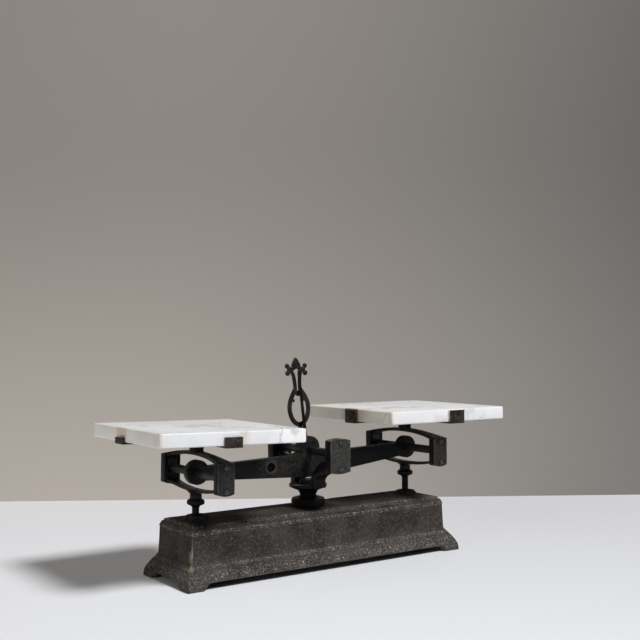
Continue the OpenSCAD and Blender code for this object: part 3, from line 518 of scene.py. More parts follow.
# Glint bands: rough dots painted pale as highlights on the flare and beads, (from, to, softness, amount)
# by height in metres
baseLook = {
    "dark": (0.024, 0.021, 0.019), "mid": (0.056, 0.049, 0.045),
    "grainColour": (0.15, 0.135, 0.125), "bare": (0.22, 0.2, 0.17), "speckle": 0.55,
    "grainSize": 0.6, "wear": 0.8, "wearWidth": 0.0018, "polish": 0.15, "rough": (0.67, 0.83),
    "metal": 0.0, "shine": 0.07, "bump": 1.0, "bumpHeight": 0.0012,
    "peened": [(0.01, 0.021, 0.003, 1.0), (0.024, 0.0285, 0.001, 0.8), (0.0, 0.01, 0.003, 0.35),
               (0.0662, 0.071, 0.0008, 1.0), (0.0752, 0.0785, 0.0008, 1.0)],
    "dotColour": (0.6, 0.57, 0.53), "spots": [
        ((-0.21, -0.0488, 0.052), (0.0003, 0.0003, 0.012), 0.0016, straw, 0.6),
        ((-0.2125, -0.046, 0.04), (0.001, 0.0015, 0.005), 0.004, straw, 0.6),
        ((-0.2145, -0.052, 0.0285), (0.0012, 0.0012, 0.004), 0.004, straw, 0.7),
        ((-0.213, -0.048, 0.033), (0.001, 0.001, 0.001), 0.004, rust, 0.3),
        ((0.2105, -0.05, 0.045), (0.0005, 0.0005, 0.02), 0.002, straw, 0.4),
        # Soot and painted shade on the deck, round the stems and along its far side
        ((-0.16, -0.012, 0.08), (0.03, 0.026, 0.001), 0.02, sootAndShade, 0.95),
        ((-0.09, 0.022, 0.08), (0.055, 0.008, 0.001), 0.016, sootAndShade, 0.95),
        ((0.0, -0.004, 0.08), (0.025, 0.022, 0.001), 0.014, sootAndShade, 0.9),
        ((0.1, 0.024, 0.08), (0.045, 0.007, 0.001), 0.014, sootAndShade, 0.95),
        ((0.183, 0.0, 0.08), (0.014, 0.02, 0.001), 0.014, sootAndShade, 0.8)]}
collarLook = dict(baseLook, dark=(0.006, 0.006, 0.005), mid=(0.018, 0.016, 0.015), peened=(), spots=(),
                  wearWidth=0.0015, wear=0.4)
worksLook = {
    "dark": (0.0015, 0.0015, 0.0015), "mid": (0.0055, 0.005, 0.0048),
    "grainColour": (0.03, 0.028, 0.025), "bare": (0.09, 0.084, 0.075), "speckle": 0.35,
    "grainSize": 1.0, "wear": 0.6, "wearWidth": 0.0012, "polish": 0.15, "rough": (0.37, 0.53),
    "metal": 0.0, "shine": 0.12, "bump": 0.6, "bumpHeight": 0.0004}
# The yoke seat's pale top is dust and painted light from above
yokeLook = dict(worksLook, dust=1.0, dustColour=(0.14, 0.135, 0.11))
beamLook = dict(
    worksLook, mid=(0.0095, 0.009, 0.0085), grainColour=(0.065, 0.062, 0.057), scratch=0.3,
    slant=38, stretch=(1, 1, 0.07), speckle=0.5, grainSize=0.8, spots=[
        # Soot and painted shade under the plates, by the left boss and on the right arm
        ((-0.125, 0.0, 0.145), (0.03, 0.02, 0.02), 0.03, sootAndShade, 0.6),
        ((-0.178, 0.0, 0.1475), (0.012, 0.03, 0.012), 0.01, sootAndShade, 0.7),
        ((0.12, 0.0, 0.152), (0.06, 0.02, 0.03), 0.03, sootAndShade, 0.85),
        # Pale patch round the tare hole: worn rim and painted highlight
        ((-0.0662, -0.01, 0.1391), (0.003, 0.0, 0.003), 0.011, (0.08, 0.075, 0.068), 0.6)])
# The column's near-black iron is partly painted shade under the beam
columnLook = dict(worksLook, dark=(0.001, 0.001, 0.001), mid=(0.003, 0.003, 0.003), wear=0.3, dust=0.4,
                  dustColour=(0.045, 0.042, 0.032), shine=0.1)
lyreLook = dict(worksLook, dark=(0.006, 0.006, 0.005), mid=(0.024, 0.022, 0.019), wear=0.9,
                bare=(0.11, 0.1, 0.088), wearWidth=0.0016)
crossLook = dict(worksLook, dark=(0.01, 0.009, 0.008), mid=(0.04, 0.034, 0.029),
                 grainColour=(0.11, 0.097, 0.082), speckle=0.7, grainSize=0.6, wear=0.8)
tabStain = ((0.0685, -0.014, 0.194), (0, 0, 0), 0.007, rust, 0.6)
coverLook = {
    "dark": (0.006, 0.006, 0.0055), "mid": (0.024, 0.0235, 0.021),
    "bright": (0.1, 0.096, 0.088), "spot": (0.003, 0.003, 0.0025),
    "bare": (0.19, 0.185, 0.17), "lines": 0.5, "speckle": 0.85,
    "wear": 1.0, "wearWidth": 0.0022, "stretch": (1, 1, 0.3), "rough": (0.42, 0.6), "metal": 0.0,
    "shine": 0.2, "bump": 0.5, "bumpHeight": 0.0002, "grainSize": 0.5}
endCoverLook = dict(coverLook, dark=(0.003, 0.003, 0.003), mid=(0.013, 0.012, 0.011), lines=0.4,
                    speckle=0.8, bright=(0.07, 0.064, 0.057), wear=0.6)
# Dark rings of soot and painted shadow round the covers' screws: heights above the knife edge and faces,
# in mm
screwShadowRing = {"centre": (21.5, -14.5), "end": (7.5, -23.0), "centreFace": 82.3, "endFace": 83.0,
             "half": (0.0028, 0.001, 0.0028), "reach": 0.003, "amount": 0.85}


# Soot and painted shadow round the screws on the covers' faces, in metres.
def screwShadowRings(place, heights, face):
    centres = place([(0, y, z) for z in heights for y in (-face, face)]) * mm
    return [(tuple(c), screwShadowRing["half"], screwShadowRing["reach"], sootAndShade, screwShadowRing["amount"]) for c in centres]


coverLook["spots"] = screwShadowRings(lambda p: np.add(p, (0, 0, dims["pivotHigh"])), screwShadowRing["centre"],
                                screwShadowRing["centreFace"])
endCoverLook["spots"] = [ring for side in sides
                         for ring in screwShadowRings(onCarrier(side), screwShadowRing["end"], screwShadowRing["endFace"])]
knifeLook = {
    "dark": (0.004, 0.004, 0.004), "mid": (0.011, 0.011, 0.011),
    "bright": (0.04, 0.039, 0.038), "spot": (0.01, 0.008, 0.007),
    "bare": (0.3, 0.3, 0.29), "lines": 0.3, "speckle": 0.3,
    "wear": 0.9, "wearWidth": 0.0007, "stretch": (1, 0.05, 1), "rough": (0.32, 0.5), "metal": 0.1,
    "shine": 0.3, "bump": 0.2, "bumpHeight": 0.0002, "grainSize": 1.6}
screwLook = dict(knifeLook, dark=(0.018, 0.018, 0.017), mid=(0.045, 0.043, 0.04), stretch=(1, 1, 1),
                 wear=1.0, bare=(0.26, 0.25, 0.23))
# The lead plug is painted near black: painted shade in the tare hole
leadShadeLook = dict(knifeLook, dark=(0.002, 0.002, 0.002), mid=(0.004, 0.004, 0.004),
                bright=(0.008, 0.008, 0.008), stretch=(1, 1, 1), wear=0.0, shine=0.05)
marbleLook = {"white": (0.875, 0.88, 0.885), "grey": (0.6, 0.61, 0.63),
              "veinColour": (0.36, 0.37, 0.4), "bare": (0.7, 0.68, 0.63), "cloud": 0.45, "vein": 0.65,
              "wear": 0.3, "wearWidth": 0.0015, "rough": (0.3, 0.42), "glow": 0.08, "glowDepth": 0.004}
marbleLooks = {
    "left": dict(marbleLook, shift=(0.63, 0.1, 0.52), spots=[
        ((-0.2825, 0.07, 0.194), (0.001, 0.045, 0.012), 0.02, (0.8, 0.76, 0.7), 0.6),
        ((-0.2825, -0.085, 0.194), (0.001, 0.028, 0.012), 0.025, (0.66, 0.56, 0.49), 0.55),
        ((-0.2825, -0.03, 0.194), (0.001, 0.018, 0.01), 0.02, (0.7, 0.67, 0.58), 0.35),
        ((-0.2825, 0.006, 0.196), (0.001, 0.01, 0.008), 0.01, peach, 0.6),
        ((-0.2825, 0.001, 0.1935), (0.001, 0.004, 0.001), 0.005, brown, 0.75),
        # Grey over the front: painted shade
        ((-0.2, -0.1085, 0.194), (0.075, 0.001, 0.006), 0.02, (0.68, 0.69, 0.71), 0.4),
        ((-0.1665, -0.1085, 0.192), (0.002, 0.001, 0.008), 0.01, cream, 0.35)]),
    "right": dict(marbleLook, shift=(0.05, 0.12, 0.4), spots=[
        ((0.0705, 0.0, 0.203), (0.001, 0.1, 0.012), 0.03, (0.82, 0.77, 0.63), 0.6),
        ((0.0705, -0.012, 0.203), (0.001, 0.02, 0.012), 0.018, (0.55, 0.4, 0.27), 0.6),
        ((0.0705, -0.0092, 0.203), (0.001, 0.0125, 0.012), 0.007, brown, 0.9),
        # Grey over the front: painted shade
        ((0.115, -0.1055, 0.203), (0.035, 0.001, 0.006), 0.016, (0.7, 0.7, 0.71), 0.45),
        ((0.163, -0.1055, 0.194), (0.008, 0.001, 0.004), 0.012, cream, 0.35),
        # Narrow brown line on the front: painted shadow
        ((0.1755, -0.1055, 0.2), (0.0005, 0.001, 0.01), 0.003, brown, 0.6)])}

iron = {name: ironMaterial(name + "Iron", look) for name, look in {
    "base": baseLook, "collar": collarLook, "works": worksLook, "yoke": yokeLook, "beam": beamLook,
    "column": columnLook, "lyre": lyreLook, "leftCross": crossLook,
    "rightCross": dict(crossLook, spots=[tabStain])}.items()}
coverSteel = steelMaterial("centreCoverSteel", coverLook)
endCoverSteel = steelMaterial("endCoverSteel", endCoverLook)
knifeSteel = steelMaterial("knifeSteel", knifeLook)
screwSteel = steelMaterial("screwSteel", screwLook)
leadGrey = steelMaterial("leadGrey", leadShadeLook)
marble = {side: marbleMaterial(side + "Marble", marbleLooks[side]) for side in sides}
print("materials made")


# Base casting

baseForm = {
    "long": 419.5, "wide": 95.2, "wall": 6.0, "draft": 3.2, "flareLong": 12.4, "flareWide": 16.4,
    "flareTop": 32.0, "flareLow": 3.0, "flareCurve": 0.7, "skirtGap": 9.0, "footLong": 22.0,
    "footWide": 24.0, "wallLow": 36.0, "wallShort": 2.2, "shoulder": 5.0, "shoulderLow": 11.0,
    "shoulderDrop": 4.5, "bead": 1.0, "beadSwell": 0.75, "beadNeck": 0.4,
    "groove": [(0.1, 0.2), (-0.35, 0.0)],  # (outward, down)
    "crown": [(5.5, 2.4), (7, 1.9), (9, 1.35), (12, 0.8), (16, 0.3), (21, 0)],  # (inward, down)
    "cornerRound": 1.5, "innerRound": 0.6, "ceilingRound": 5.0, "ceilingIn": 3.0, "uneven": 0.22,
    "swells": [(0.071, 0, 0, 0.4), (0, 0.13, 0.11, 0), (0.19, 0, -0.09, 0)],  # (x, y, z, phase)
    "unevenFade": 12.0, "seatRadius": 18.0, "seatDeep": 1.5, "stemHole": 11.0,
    "padRadius": 24.2, "padDeep": 4.0, "alongLong": 150, "alongWide": 44, "aroundHole": 48,
    "cornerSteps": 7, "flareSteps": 26, "wallSteps": 8, "innerSteps": 6,
    "beadAngles": (25, 55, 90, 125, 155), "shoulderAngles": (4, 84, 9)}


# Smooth step: 3 t^2 - 2 t^3 between 0 and 1.
def smooth(t):
    t = np.clip(t, 0, 1)
    return t * t * (3 - 2 * t)


# Once round a rectangle with rounded corners. Each row holds the shares of the two half sides, and the
# direction of the corner's arc or of the side's outward normal.
def aroundBase():
    f = baseForm
    turns = (((1, 1), (0, 1), (-1, 0)), ((-1, 1), (-1, 0), (0, -1)),
             ((-1, -1), (0, -1), (1, 0)), ((1, -1), (1, 0), (0, 1)))
    rows = []
    for quarter, (corner, out, along) in enumerate(turns):
        a = np.radians(np.linspace(0, 90, f["cornerSteps"]) + 90 * quarter)
        count = f["alongWide"] if quarter % 2 else f["alongLong"]
        share = np.sin(np.radians(np.linspace(-90, 90, count + 2)))[1:-1, None]
        rows.append(np.column_stack([np.broadcast_to(corner, (len(a), 2)), np.cos(a), np.sin(a)]))
        rows.append(np.column_stack([out + share * along, np.broadcast_to(out, (count, 2))]))
    return np.concatenate(rows)


# The outside is a section swept round the base, and the inside follows it a wall's width in. Wall and
# flare lean out by draft (1 - z / shoulder) and by the smooth step of the flare's share.
def baseShell():
    f = baseForm
    high = dims["baseHigh"]
    halfLong, halfWide = f["long"] / 2, f["wide"] / 2
    shoulderHigh = high - f["shoulderLow"]
    way = aroundBase()

    # The cast walls wander a little: the sum of slow waves sin(a x + b y + c z + phase)
    def wander(z):
        x, y = way[:, 0] * halfLong, way[:, 1] * halfWide
        waves = [np.sin(a * x + b * y + c * z + phase) for a, b, c, phase in f["swells"]]
        return f["uneven"] * sum(waves) / 2

    # One turn at the given half sides, corner radius and height
    def turn(hx, hy, r, z):
        x = way[:, 0] * (hx - r) + way[:, 2] * r
        y = way[:, 1] * (hy - r) + way[:, 3] * r
        return np.stack([x, y, np.broadcast_to(z, x.shape)], 1)

    def outer(out, z):
        out = out + wander(z)
        return turn(halfLong + out, halfWide + out, f["cornerRound"], z)

    def inner(out, z):
        out = out - f["wall"]
        return turn(halfLong + out, halfWide + out, f["innerRound"], z)

    def draft(z):
        return f["draft"] * (1 - z / shoulderHigh)

    # Share of the flare: 0 at its top and 1 at the foot
    def flare(z):
        share = np.maximum(f["flareTop"] - z, 0) / (f["flareTop"] - f["flareLow"])
        return smooth(share ** f["flareCurve"])

    footX = halfLong + f["draft"] + f["flareLong"]
    footY = halfWide + f["draft"] + f["flareWide"]
    foot = turn(footX + wander(0), footY + wander(0), f["cornerRound"], 0)
    onLong = (way[:, 2] == 0) & (np.abs(way[:, 3]) == 1)
    onWide = (way[:, 3] == 0) & (np.abs(way[:, 2]) == 1)
    rise = np.where(onLong, footX - f["footLong"] - np.abs(foot[:, 0]),
                    np.where(onWide, footY - f["footWide"] - np.abs(foot[:, 1]), 0))
    lift = smooth(rise / f["skirtGap"]) * f["skirtGap"]

    outside, inside = [], []
    for t in np.linspace(0, 1, f["flareSteps"]):
        z = lift + (f["flareTop"] - lift) * t
        hx = halfLong + draft(z) + flare(z) * f["flareLong"]
        hy = halfWide + draft(z) + flare(z) * f["flareWide"]
        rough = wander(z) * smooth((z - f["flareLow"]) / f["unevenFade"])
        outside.append(turn(hx + rough, hy + rough, f["cornerRound"], z))
        inside.append(turn(hx - f["wall"], hy - f["wall"], f["innerRound"], z))
    bead, shoulder = f["bead"], f["shoulder"]
    shoulderTop = high - f["shoulderDrop"]
    tall = shoulderTop - shoulderHigh - bead
    bulge, arc = np.radians(f["beadAngles"]), np.radians(np.linspace(*f["shoulderAngles"]))
    swell, neck = f["beadSwell"] * bead, f["beadNeck"]
    wallTop = shoulderHigh - f["wallShort"]
    line = [(draft(z), z) for z in np.linspace(f["wallLow"], wallTop, f["wallSteps"])]
    line += [(out, shoulderHigh - bead - down) for out, down in f["groove"]]
    line += [(swell * sin(a), shoulderHigh - bead * cos(a)) for a in bulge]
    line += [(-neck - (shoulder - neck) * (1 - cos(a)), shoulderHigh + bead + tall * sin(a)) for a in arc]
    line += [(swell * sin(a) - shoulder, shoulderTop + bead * (1 - cos(a))) for a in bulge]
    line += [(-inward, high - down) for inward, down in f["crown"]]
    outside += [outer(out, z) for out, z in line]
    ceiling = high - f["wall"]
    innerTop = ceiling - f["ceilingRound"]
    inside += [inner(draft(z), z) for z in np.linspace(f["wallLow"], innerTop, f["innerSteps"])]
    inside.append(inner(-f["ceilingIn"], ceiling))
    rows = inside[::-1] + outside
    shell = np.array(rows).reshape(-1, 3), rowFaces(len(rows), len(way))

    n = f["aroundHole"]

    def circle(x, r, z):
        a = np.arange(n) * 2 * np.pi / n
        return np.stack([x + r * np.cos(a), r * np.sin(a), np.full(n, z)], 1)

    # Flat face inside a border, without the holes, which are (x, radius)
    def sheet(border, holes, z):
        loops = [border] + [circle(x, r, z) for x, r in holes]
        edges, start = [], 0
        for loop in loops:
            size = len(loop)
            edges += [(start + i, start + (i + 1) % size) for i in range(size)]
            start += size
        flat = [Vector(p[:2]) for p in np.concatenate(loops)]
        verts, _, faces, *_ = delaunay_2d_cdt(flat, edges, [], 1, 1e-4)
        kept = []
        for face in faces:
            mid = sum((Vector(verts[i]) for i in face), Vector((0, 0))) / len(face)
            if all((mid - Vector((x, 0))).length > r for x, r in holes):
                kept.append(list(face))
        return np.array([(v[0], v[1], z) for v in verts]), kept

    arm, seat, hole, pad = dims["armLength"], f["seatRadius"], f["stemHole"], f["padRadius"]
    top = sheet(outside[-1], [(-arm, seat), (arm, seat)], high)
    under = sheet(inside[-1], [(-arm, hole), (arm, hole), (0, pad)], ceiling)
    steps = ((seat, high), (seat, high - f["seatDeep"]), (hole, high - f["seatDeep"]), (hole, ceiling))
    holes = [(np.concatenate([circle(x, r, z) for r, z in steps]), rowFaces(4, n)) for x in (-arm, arm)]
    padSide = np.concatenate([circle(0, pad, ceiling), circle(0, pad, ceiling - f["padDeep"])])
    padPart = (padSide, rowFaces(2, n) + [list(range(n, 2 * n))])
    return together(shell, top, under, padPart, *holes)


piece("baseShell", baseShell(), iron["base"], "stand", "base_iron", "base_casting", sharp=50)
print("base made")


# Column, collars and stems

columnForm = {
    "profile": [(0.5, 0), (24.2, 0), (24.2, 8), (22.7, 11), (17, 12.2), (12.2, 13.8),
                (11.4, 15.7), (13.8, 20.4), (15.2, 22.2), (20, 23.7), (24.9, 26), (26, 27),
                (0.5, 27)],
    "soften": [0, 0.3, 1.2, 1.6, 1.5, 1.2, 1.6, 1.5, 1.0, 1.6, 0.8, 0.2, 0]}
profile = softLine(columnForm["profile"], columnForm["soften"]) + (0, dims["baseHigh"])
piece("columnTurned", lathe(profile, 96), iron["column"], "stand", "works_iron", "column")

collarForm = {"profile": [(9.0, -6), (11, -6), (11, -1.5), (17.9, -1.5), (18, 0), (16.5, 1.5), (14.7, 3),
                          (13.7, 5), (9.4, 5), (9.0, 4.6)],
              "soften": [0, 0, 0, 0, 0.4, 0.8, 1.0, 0.7, 0.2, 0]}
collar, collarFaces = ringLathe(softLine(collarForm["profile"], collarForm["soften"]))
for side, way in sides.items():
    seat = (way * dims["armLength"], 0, dims["baseHigh"])
    piece(side + "Collar", (collar + seat, collarFaces), iron["collar"], "stand", "base_iron",
          side + "_guide_collar")

# The profile's heights are from the knob's top, which is knobTop under the knife edge
stemForm = {
    "profile": [(0.3, 8), (4.8, 8), (4.8, 2), (8, 2), (8, 0), (11, -1.9), (11.8, -3.0),
                (11.8, -6.6), (10.8, -7.7), (6.8, -9.1), (4.8, -11.5)],
    "soften": [0, 0, 0, 0.2, 0.5, 0.9, 0.9, 0.9, 0.8, 0.9, 1.2, 0, 0],
    "knobTop": 40.5, "rod": 4.8, "stayHigh": 42.0, "forkHigh": 12.0}
rodEnd = stemForm["knobTop"] - (dims["pivotHigh"] - dims["edgeDrop"] - stemForm["stayHigh"]
                                - stemForm["forkHigh"])
line = stemForm["profile"] + [(stemForm["rod"], rodEnd), (0.3, rodEnd)]
profile = softLine(line, stemForm["soften"]) - (0, stemForm["knobTop"])
for side in sides:
    piece(side + "Stem", moved(lathe(profile[::-1]), onCarrier(side)), iron["works"], side + "_carrier",
          "works_iron", side + "_stem")
print("turned parts made")


# Marble plates

slabForm = {"side": {"left": 210.0, "right": 213.0}, "thick": 18.0, "shift": {"left": -3.2, "right": 1.5},
            "cornerCut": 5.04, "edgeRound": 1.9, "rise": 38.1}
for side in sides:
    f = slabForm
    corners = np.array([(-1, -1), (1, -1), (1, 1), (-1, 1)]) * f["side"][side] / 2
    square = softLine(corners, f["cornerCut"], closed=True, steps=6)
    verts, faces = plate(square, f["thick"], f["edgeRound"], 4)
    slab = onCarrier(side)(verts + (0, f["shift"][side], f["rise"])), faces
    piece(side + "Marble", slab, marble[side], side + "_plate", "marble", side + "_marble_plate", sharp=60)
print("marble made")


# Cover plates

coverForm = {"thick": 2.5, "bow": 2.5, "edgeRound": 0.6, "cornerCut": 0.7,
             "centre": {"wide": 32.6, "low": 20.5, "high": 27.5, "face": 79.8, "topBow": 2.5},
             "end": {"wide": 24.0, "low": 28.5, "high": 13.0, "face": 80.5, "topBow": 0.0}}


# Plate over an outline whose bottom and top bow outward as parabolas. It stands out from its face, to the
# front where way is -1 and to the back where it is 1.
def coverPlate(form, way):
    t = np.linspace(-1, 1, 15)
    top = np.column_stack([-t * form["wide"] / 2, form["high"] - form["topBow"] * t * t])
    bottom = np.column_stack([t * form["wide"] / 2, coverForm["bow"] * t * t - form["low"]])
    outline = softLine(np.concatenate([bottom, top]), coverForm["cornerCut"], closed=True, steps=2)
    verts, faces = plate(outline, coverForm["thick"], coverForm["edgeRound"])
    return (facingFront(verts) + (0, form["face"], 0)) * (1, way, 1), faces


for label, way in (("front", -1), ("back", 1)):
    verts, faces = coverPlate(coverForm["centre"], way)
    piece(label + "CentreCover", (verts + (0, 0, dims["pivotHigh"]), faces), coverSteel, "stand",
          "cover_steel", label + "_centre_cover")
    for side in sides:
        part = moved(coverPlate(coverForm["end"], way), onCarrier(side))
        piece(side + label.capitalize() + "Cover", part, endCoverSteel, side + "_carrier", "cover_steel",
              side + "_" + label + "_cover")
print("covers made")


# Lyre and needle

# Petals, cusp and the waist's button are (x, z, radius)
lyreForm = {
    "high": 107.0, "foot": 9.8, "lowShare": 0.223, "highShare": 0.25, "halfWide": 15.9,
    "waist": 4.0, "bar": 6.6, "slotBar": 5.4, "ribBar": 5.6, "footBar": 7.0, "thick": 2.8,
    "round": 0.9, "lean": 4.2, "x": -2.5, "y": 12.5, "seat": 183.5, "skew": 1.0,
    "flower": (11.3, -17.8), "petals": [(0, 0, 4.2), (3.7, 4.8, 3.6), (3.5, -5.4, 3.8)],
    "slotLow": [(0, -2), (0, 8)], "slotHigh": [(-5.9, -7.4), (-2.4, -0.6), (0, 0.8)],
    "slotRound": 3.5, "rib": [(11.3, 0.4), (6.0, 1.6), (0, 5.3)], "ribRound": 2, "leafRound": 1.2,
    "cusp": (8.7, -15.6, 2.4), "waistButton": (0, -6, 4.1), "pad": (12.0, 14.0, 2.5),
    "padRound": 1.0, "padEdge": 0.5, "level": 0.8, "grow": 0.35,
    "leaf": [(6.7, -14.0), (7.6, -11.5), (6.8, -9.5), (5.2, -6.5), (3.6, -3.2), (2, -0.9)]}


# Each side is a bar along x = halfWide sin a up to the widest place, and then along a cosine in to the
# waist, where a second bar goes on to the flower. Flowers, cusps and waist are turned buttons.
def lyrePart():
    f = lyreForm
    thick = f["thick"]
    low, high = f["lowShare"] * f["high"], f["highShare"] * f["high"]
    waistHigh, tip = f["foot"] + low + high, f["high"] - 1
    flowerX, flowerZ = f["flower"][0], tip + f["flower"][1]
    a = np.radians(np.linspace(0, 90, 15))
    below = np.column_stack([f["halfWide"] * np.sin(a), f["foot"] + low * (1 - np.cos(a))])
    above = np.column_stack([f["waist"] + (f["halfWide"] - f["waist"]) * np.cos(a),
                             f["foot"] + low + high * a / (np.pi / 2)])
    line = np.concatenate([below, above[1:]])
    slotLine = softLine(np.concatenate([np.add(f["slotLow"], (f["waist"], waistHigh)),
                                        np.add(f["slotHigh"], (flowerX, flowerZ))]), f["slotRound"])
    parts = []

    # Round button whose faces rise by grow above the bars
    def button(x, z, r, grow=f["grow"]):
        t = thick / 2
        half = np.array([(0.3, t + grow), (0.6 * r, t + 0.7 * grow), (r - 0.5, t - 0.3), (r, t - 0.9)])
        verts, faces = lathe(np.concatenate([half * (1, -1), half[::-1]]), 32)
        parts.append((verts[:, [0, 2, 1]] + (x, 0, z), faces))

    for way in (-1, 1):
        parts.append(bar(line * (way, 1), f["bar"], thick, f["round"]))
        parts.append(bar(slotLine * (way, 1), f["slotBar"], thick - 0.1, f["round"]))
        rib = softLine(np.multiply(f["rib"], (way, 1)) + (0, flowerZ), f["ribRound"])
        parts.append(bar(rib, f["ribBar"], thick - 0.2, f["round"]))
        level = flowerZ + f["level"] - way * f["skew"]
        for x, z, r in f["petals"]:
            button(way * (flowerX + x), level + z, r)
        x, z, r = f["cusp"]
        button(way * x, waistHigh + z, r, 0.0)
    right = np.array(f["leaf"])
    edge = np.concatenate([right, [(0, 0)], right[:0:-1] * (-1, 1), right[:1] * (-1, 1)]) + (0, tip)
    leaf = softLine(np.roll(edge, 1, 0), f["leafRound"], closed=True, steps=3)
    verts, faces = plate(leaf, thick, f["round"])
    parts.append((facingFront(verts) - (0, thick / 2, 0), faces))
    x, z, r = f["waistButton"]
    button(x, waistHigh + z, r)
    parts.append(bar([(0, 0.2), (0, 5), (0, f["foot"] + 2)], f["footBar"], thick, f["round"]))
    verts, faces = together(*parts)
    upright = aboutY(verts, -f["lean"]) + (f["x"], f["y"] + thick / 2, f["seat"] + 1), faces
    wide, deep, padThick = f["pad"]
    corners = np.array([(-wide / 2, 0), (wide / 2, 0), (wide / 2, deep), (-wide / 2, deep)])
    verts, faces = plate(softLine(corners, f["padRound"], closed=True, steps=3), padThick, f["padEdge"])
    return together(upright, (verts + (f["x"], f["y"], f["seat"]), faces))


piece("lyreCast", lyrePart(), iron["lyre"], "stand", "works_iron", "lyre")

needleForm = {"long": 104.0, "foot": 5.2, "tip": 3.4, "tipLong": 6.0, "point": 0.5, "thick": 2.2,
              "round": 0.5, "lean": 5.2, "x": 3.9, "z": 17.4, "y": 7.5}


# Plate over a round eye, open for 60 degrees at its top, and a blade that narrows to a point.
def needlePart():
    f = needleForm
    a = np.radians(np.linspace(120, 420, 25))
    eye = f["foot"] * np.stack([np.cos(a), np.sin(a)], 1)
    right = np.array([(f["tip"] / 2, f["long"] - f["tipLong"]), (f["point"] / 2, f["long"])])
    verts, faces = plate(np.concatenate([eye, right, right[::-1] * (-1, 1)]), f["thick"], f["round"], 2)
    verts = aboutY(facingFront(verts), -f["lean"]) + (f["x"], f["y"], f["z"])
    return onBeam(verts), faces


piece("needleBlade", needlePart(), iron["works"], "beam", "works_iron", "needle")
print("lyre and needle made")


# Softened CAD parts

# Width of the bevel on each kind of part, in mm
softSizes = {"yoke": 0.9, "stay_bracket": 0.5, "lyre_bracket": 0.4, "beam": 0.7, "carrier_frame": 0.8,
             "plate_cross": 0.45, "knife": 0.25, "stem_fork": 0.5, "lower_stay": 0.5}
bodies = {
    "stand": ("yoke", "stay_bracket", "lyre_bracket"), "beam": ("beam",),
    "left_carrier": ("left_carrier_frame", "left_plate_cross", "left_stem_fork"),
    "right_carrier": ("right_carrier_frame", "right_plate_cross", "right_stem_fork"),
    "lower_stay": ("lower_stay",)}
for body, nodes in bodies.items():
    for node in nodes:
        kind = node.replace("left_", "").replace("right_", "")
        if kind == "plate_cross":
            made = iron[body.split("_")[0] + "Cross"]
        else:
            made = iron.get(kind, iron["works"])
        softened(node, made, body, softSizes[kind])
for node in ("centre_knife", "left_knife", "right_knife"):
    softened(node, knifeSteel, "beam", softSizes["knife"])

# Materials of the small parts, which stay as they are
for node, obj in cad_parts.items():
    if "bearing" in node:
        made = knifeSteel
    elif node == "tare_plug":
        # painted shade in the tare hole
        made = leadGrey
    else:
        made = screwSteel
    if not obj.material_slots:
        obj.data.materials.append(made)
    for slot in obj.material_slots:
        slot.material = made
print("softened parts made")


# Camera, floor and light

# The photo's viewing angle, from a fit to its straight edges: angles in degrees, place in metres
cameraLook = {"yaw": 34.36, "pitch": 0.94, "roll": -0.627, "place": (-0.8153, -1.2301, 0.3193),
              "sensor": 36, "lens": 58.03, "shift": -1 / 640, "clip": (0.05, 50)}


# Puts the camera up, and gives its place, the way it looks and the way across, all in X and Y.
def addCamera():
    look = cameraLook
    yaw, pitch, roll = radians(look["yaw"]), radians(look["pitch"]), radians(look["roll"])
    ahead = np.array([sin(yaw) * cos(pitch), cos(yaw) * cos(pitch), sin(pitch)])
    across = np.array([cos(yaw), -sin(yaw), 0.0])
    upward = np.cross(across, ahead)
    matrix = np.eye(4)
    matrix[:3, 0] = across * cos(roll) + upward * sin(roll)
    matrix[:3, 1] = upward * cos(roll) - across * sin(roll)
    matrix[:3, 2] = -ahead
    matrix[:3, 3] = look["place"]
    lens = bpy.data.cameras.new("camera")
    lens.sensor_width, lens.lens, lens.shift_x = look["sensor"], look["lens"], look["shift"]
    lens.clip_start, lens.clip_end = look["clip"]
    obj = newObject("camera", lens)
    obj.matrix_world = Matrix(matrix.tolist())
    scene.camera = obj
    return matrix[:2, 3], ahead[:2] / np.linalg.norm(ahead[:2]), across[:2]


# The colour turns into colourFar between the two X values of reach, and darkens upward: both are painted
# falloff of the lamps' light.
def stageMaterial(name, colour, colourFar, reach, seeThrough=False):
    made, tree, shader, place = newMaterial(name)
    split = put(tree, "ShaderNodeSeparateXYZ", {0: place}).outputs
    sideFalloff = mixColour(tree, ramp(tree, split["X"], *reach), colour, colourFar)
    upwardFalloff = ramp(tree, split["Z"], *stageLook["dimReach"], 1.0, stageLook["dimTo"])
    tree.links.new(mixColour(tree, 1.0, sideFalloff, upwardFalloff, blend="MULTIPLY"), shader.inputs["Base Color"])
    shader.inputs["Roughness"].default_value = stageLook["rough"]
    if seeThrough:
        clear = put(tree, "ShaderNodeBsdfTransparent")
        behind = put(tree, "ShaderNodeNewGeometry").outputs["Backfacing"]
        mix = put(tree, "ShaderNodeMixShader", {0: behind, 1: shader.outputs[0], 2: clear.outputs[0]})
        output = next(n for n in tree.nodes if n.bl_idname == "ShaderNodeOutputMaterial")
        tree.links.new(mix.outputs[0], output.inputs["Surface"])
    return made


# Flat sheet over its corners, kept out of the part.
def stageSheet(name, corners, made):
    mesh = bpy.data.meshes.new(name)
    mesh.from_pydata([tuple(c) for c in corners], [], [tuple(range(len(corners)))])
    obj = newObject(name, mesh)
    mesh.materials.append(made)


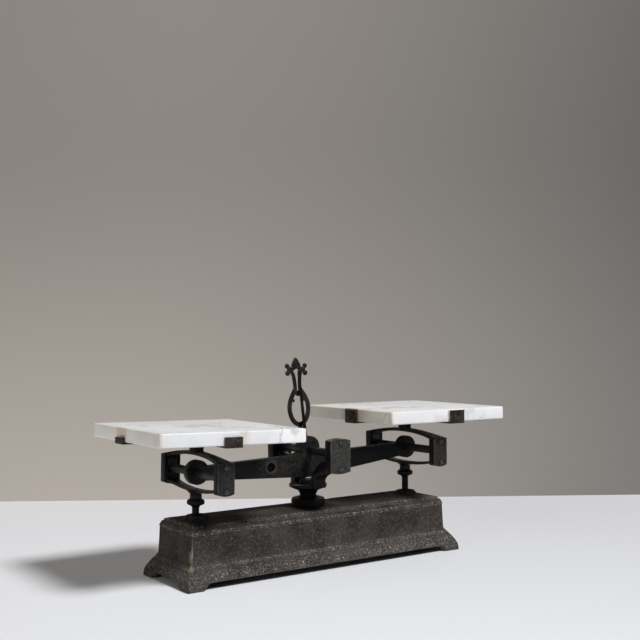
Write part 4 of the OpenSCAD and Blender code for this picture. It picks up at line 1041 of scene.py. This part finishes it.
# Square lamp that faces its target.
def lamp(name, place, target, size, power, colour):
    light = bpy.data.lights.new(name, "AREA")
    light.size, light.energy, light.color = size, power, colour
    obj = newObject(name, light)
    obj.location = place
    obj.rotation_mode = "QUATERNION"
    obj.rotation_quaternion = (Vector(target) - Vector(place)).to_track_quat("-Z", "Y")


# The floor's darker right side and the wall's fall to the right and upward are painted falloff of the
# lamps' light
stageLook = {
    "floor": (0.83, 0.84, 0.87), "floorFar": (0.685, 0.69, 0.715), "floorReach": (-0.35, 0.6),
    "wallLeft": (0.52, 0.475, 0.43), "wallRight": (0.13, 0.13, 0.125), "wallReach": (0.0, 1.3),
    "dimReach": (-0.1, 0.75), "dimTo": 0.52, "rough": 0.85, "wallDepth": 2.05, "wallHalf": 4,
    "wallHigh": 3, "floorHalf": 5, "world": (1.0, 0.97, 0.93), "worldLight": 0.07}
# Each lamp: place, target, size, watts, colour
lamps = {"key": ((1.0, -2.85, 4.1), (0, 0, 0.1), 1.15, 254, (0.99, 0.995, 1.0)),
         "fill": ((-2.1, -0.5, 0.6), (0, 0, 0.15), 1.4, 10, (1.0, 0.96, 0.91))}
eye, ahead, across = addCamera()
far = eye + ahead * stageLook["wallDepth"]
ends = [far - across * stageLook["wallHalf"], far + across * stageLook["wallHalf"]]
side, top = stageLook["floorHalf"], stageLook["wallHigh"]
stageSheet("floor", [(-side, -side, 0), (side, -side, 0), (side, side, 0), (-side, side, 0)],
           stageMaterial("floorPale", stageLook["floor"], stageLook["floorFar"], stageLook["floorReach"]))
stageSheet("wall", [(*ends[0], 0), (*ends[1], 0), (*ends[1], top), (*ends[0], top)],
           stageMaterial("wallGrey", stageLook["wallLeft"], stageLook["wallRight"], stageLook["wallReach"],
                         seeThrough=True))
for name, values in lamps.items():
    lamp(name, *values)
world = bpy.data.worlds.new("world")
scene.world = world
world.use_nodes = True
background = world.node_tree.nodes["Background"]
background.inputs["Color"].default_value = (*stageLook["world"], 1)
background.inputs["Strength"].default_value = stageLook["worldLight"]
scene.view_settings.view_transform = "Standard"
print("stage made")
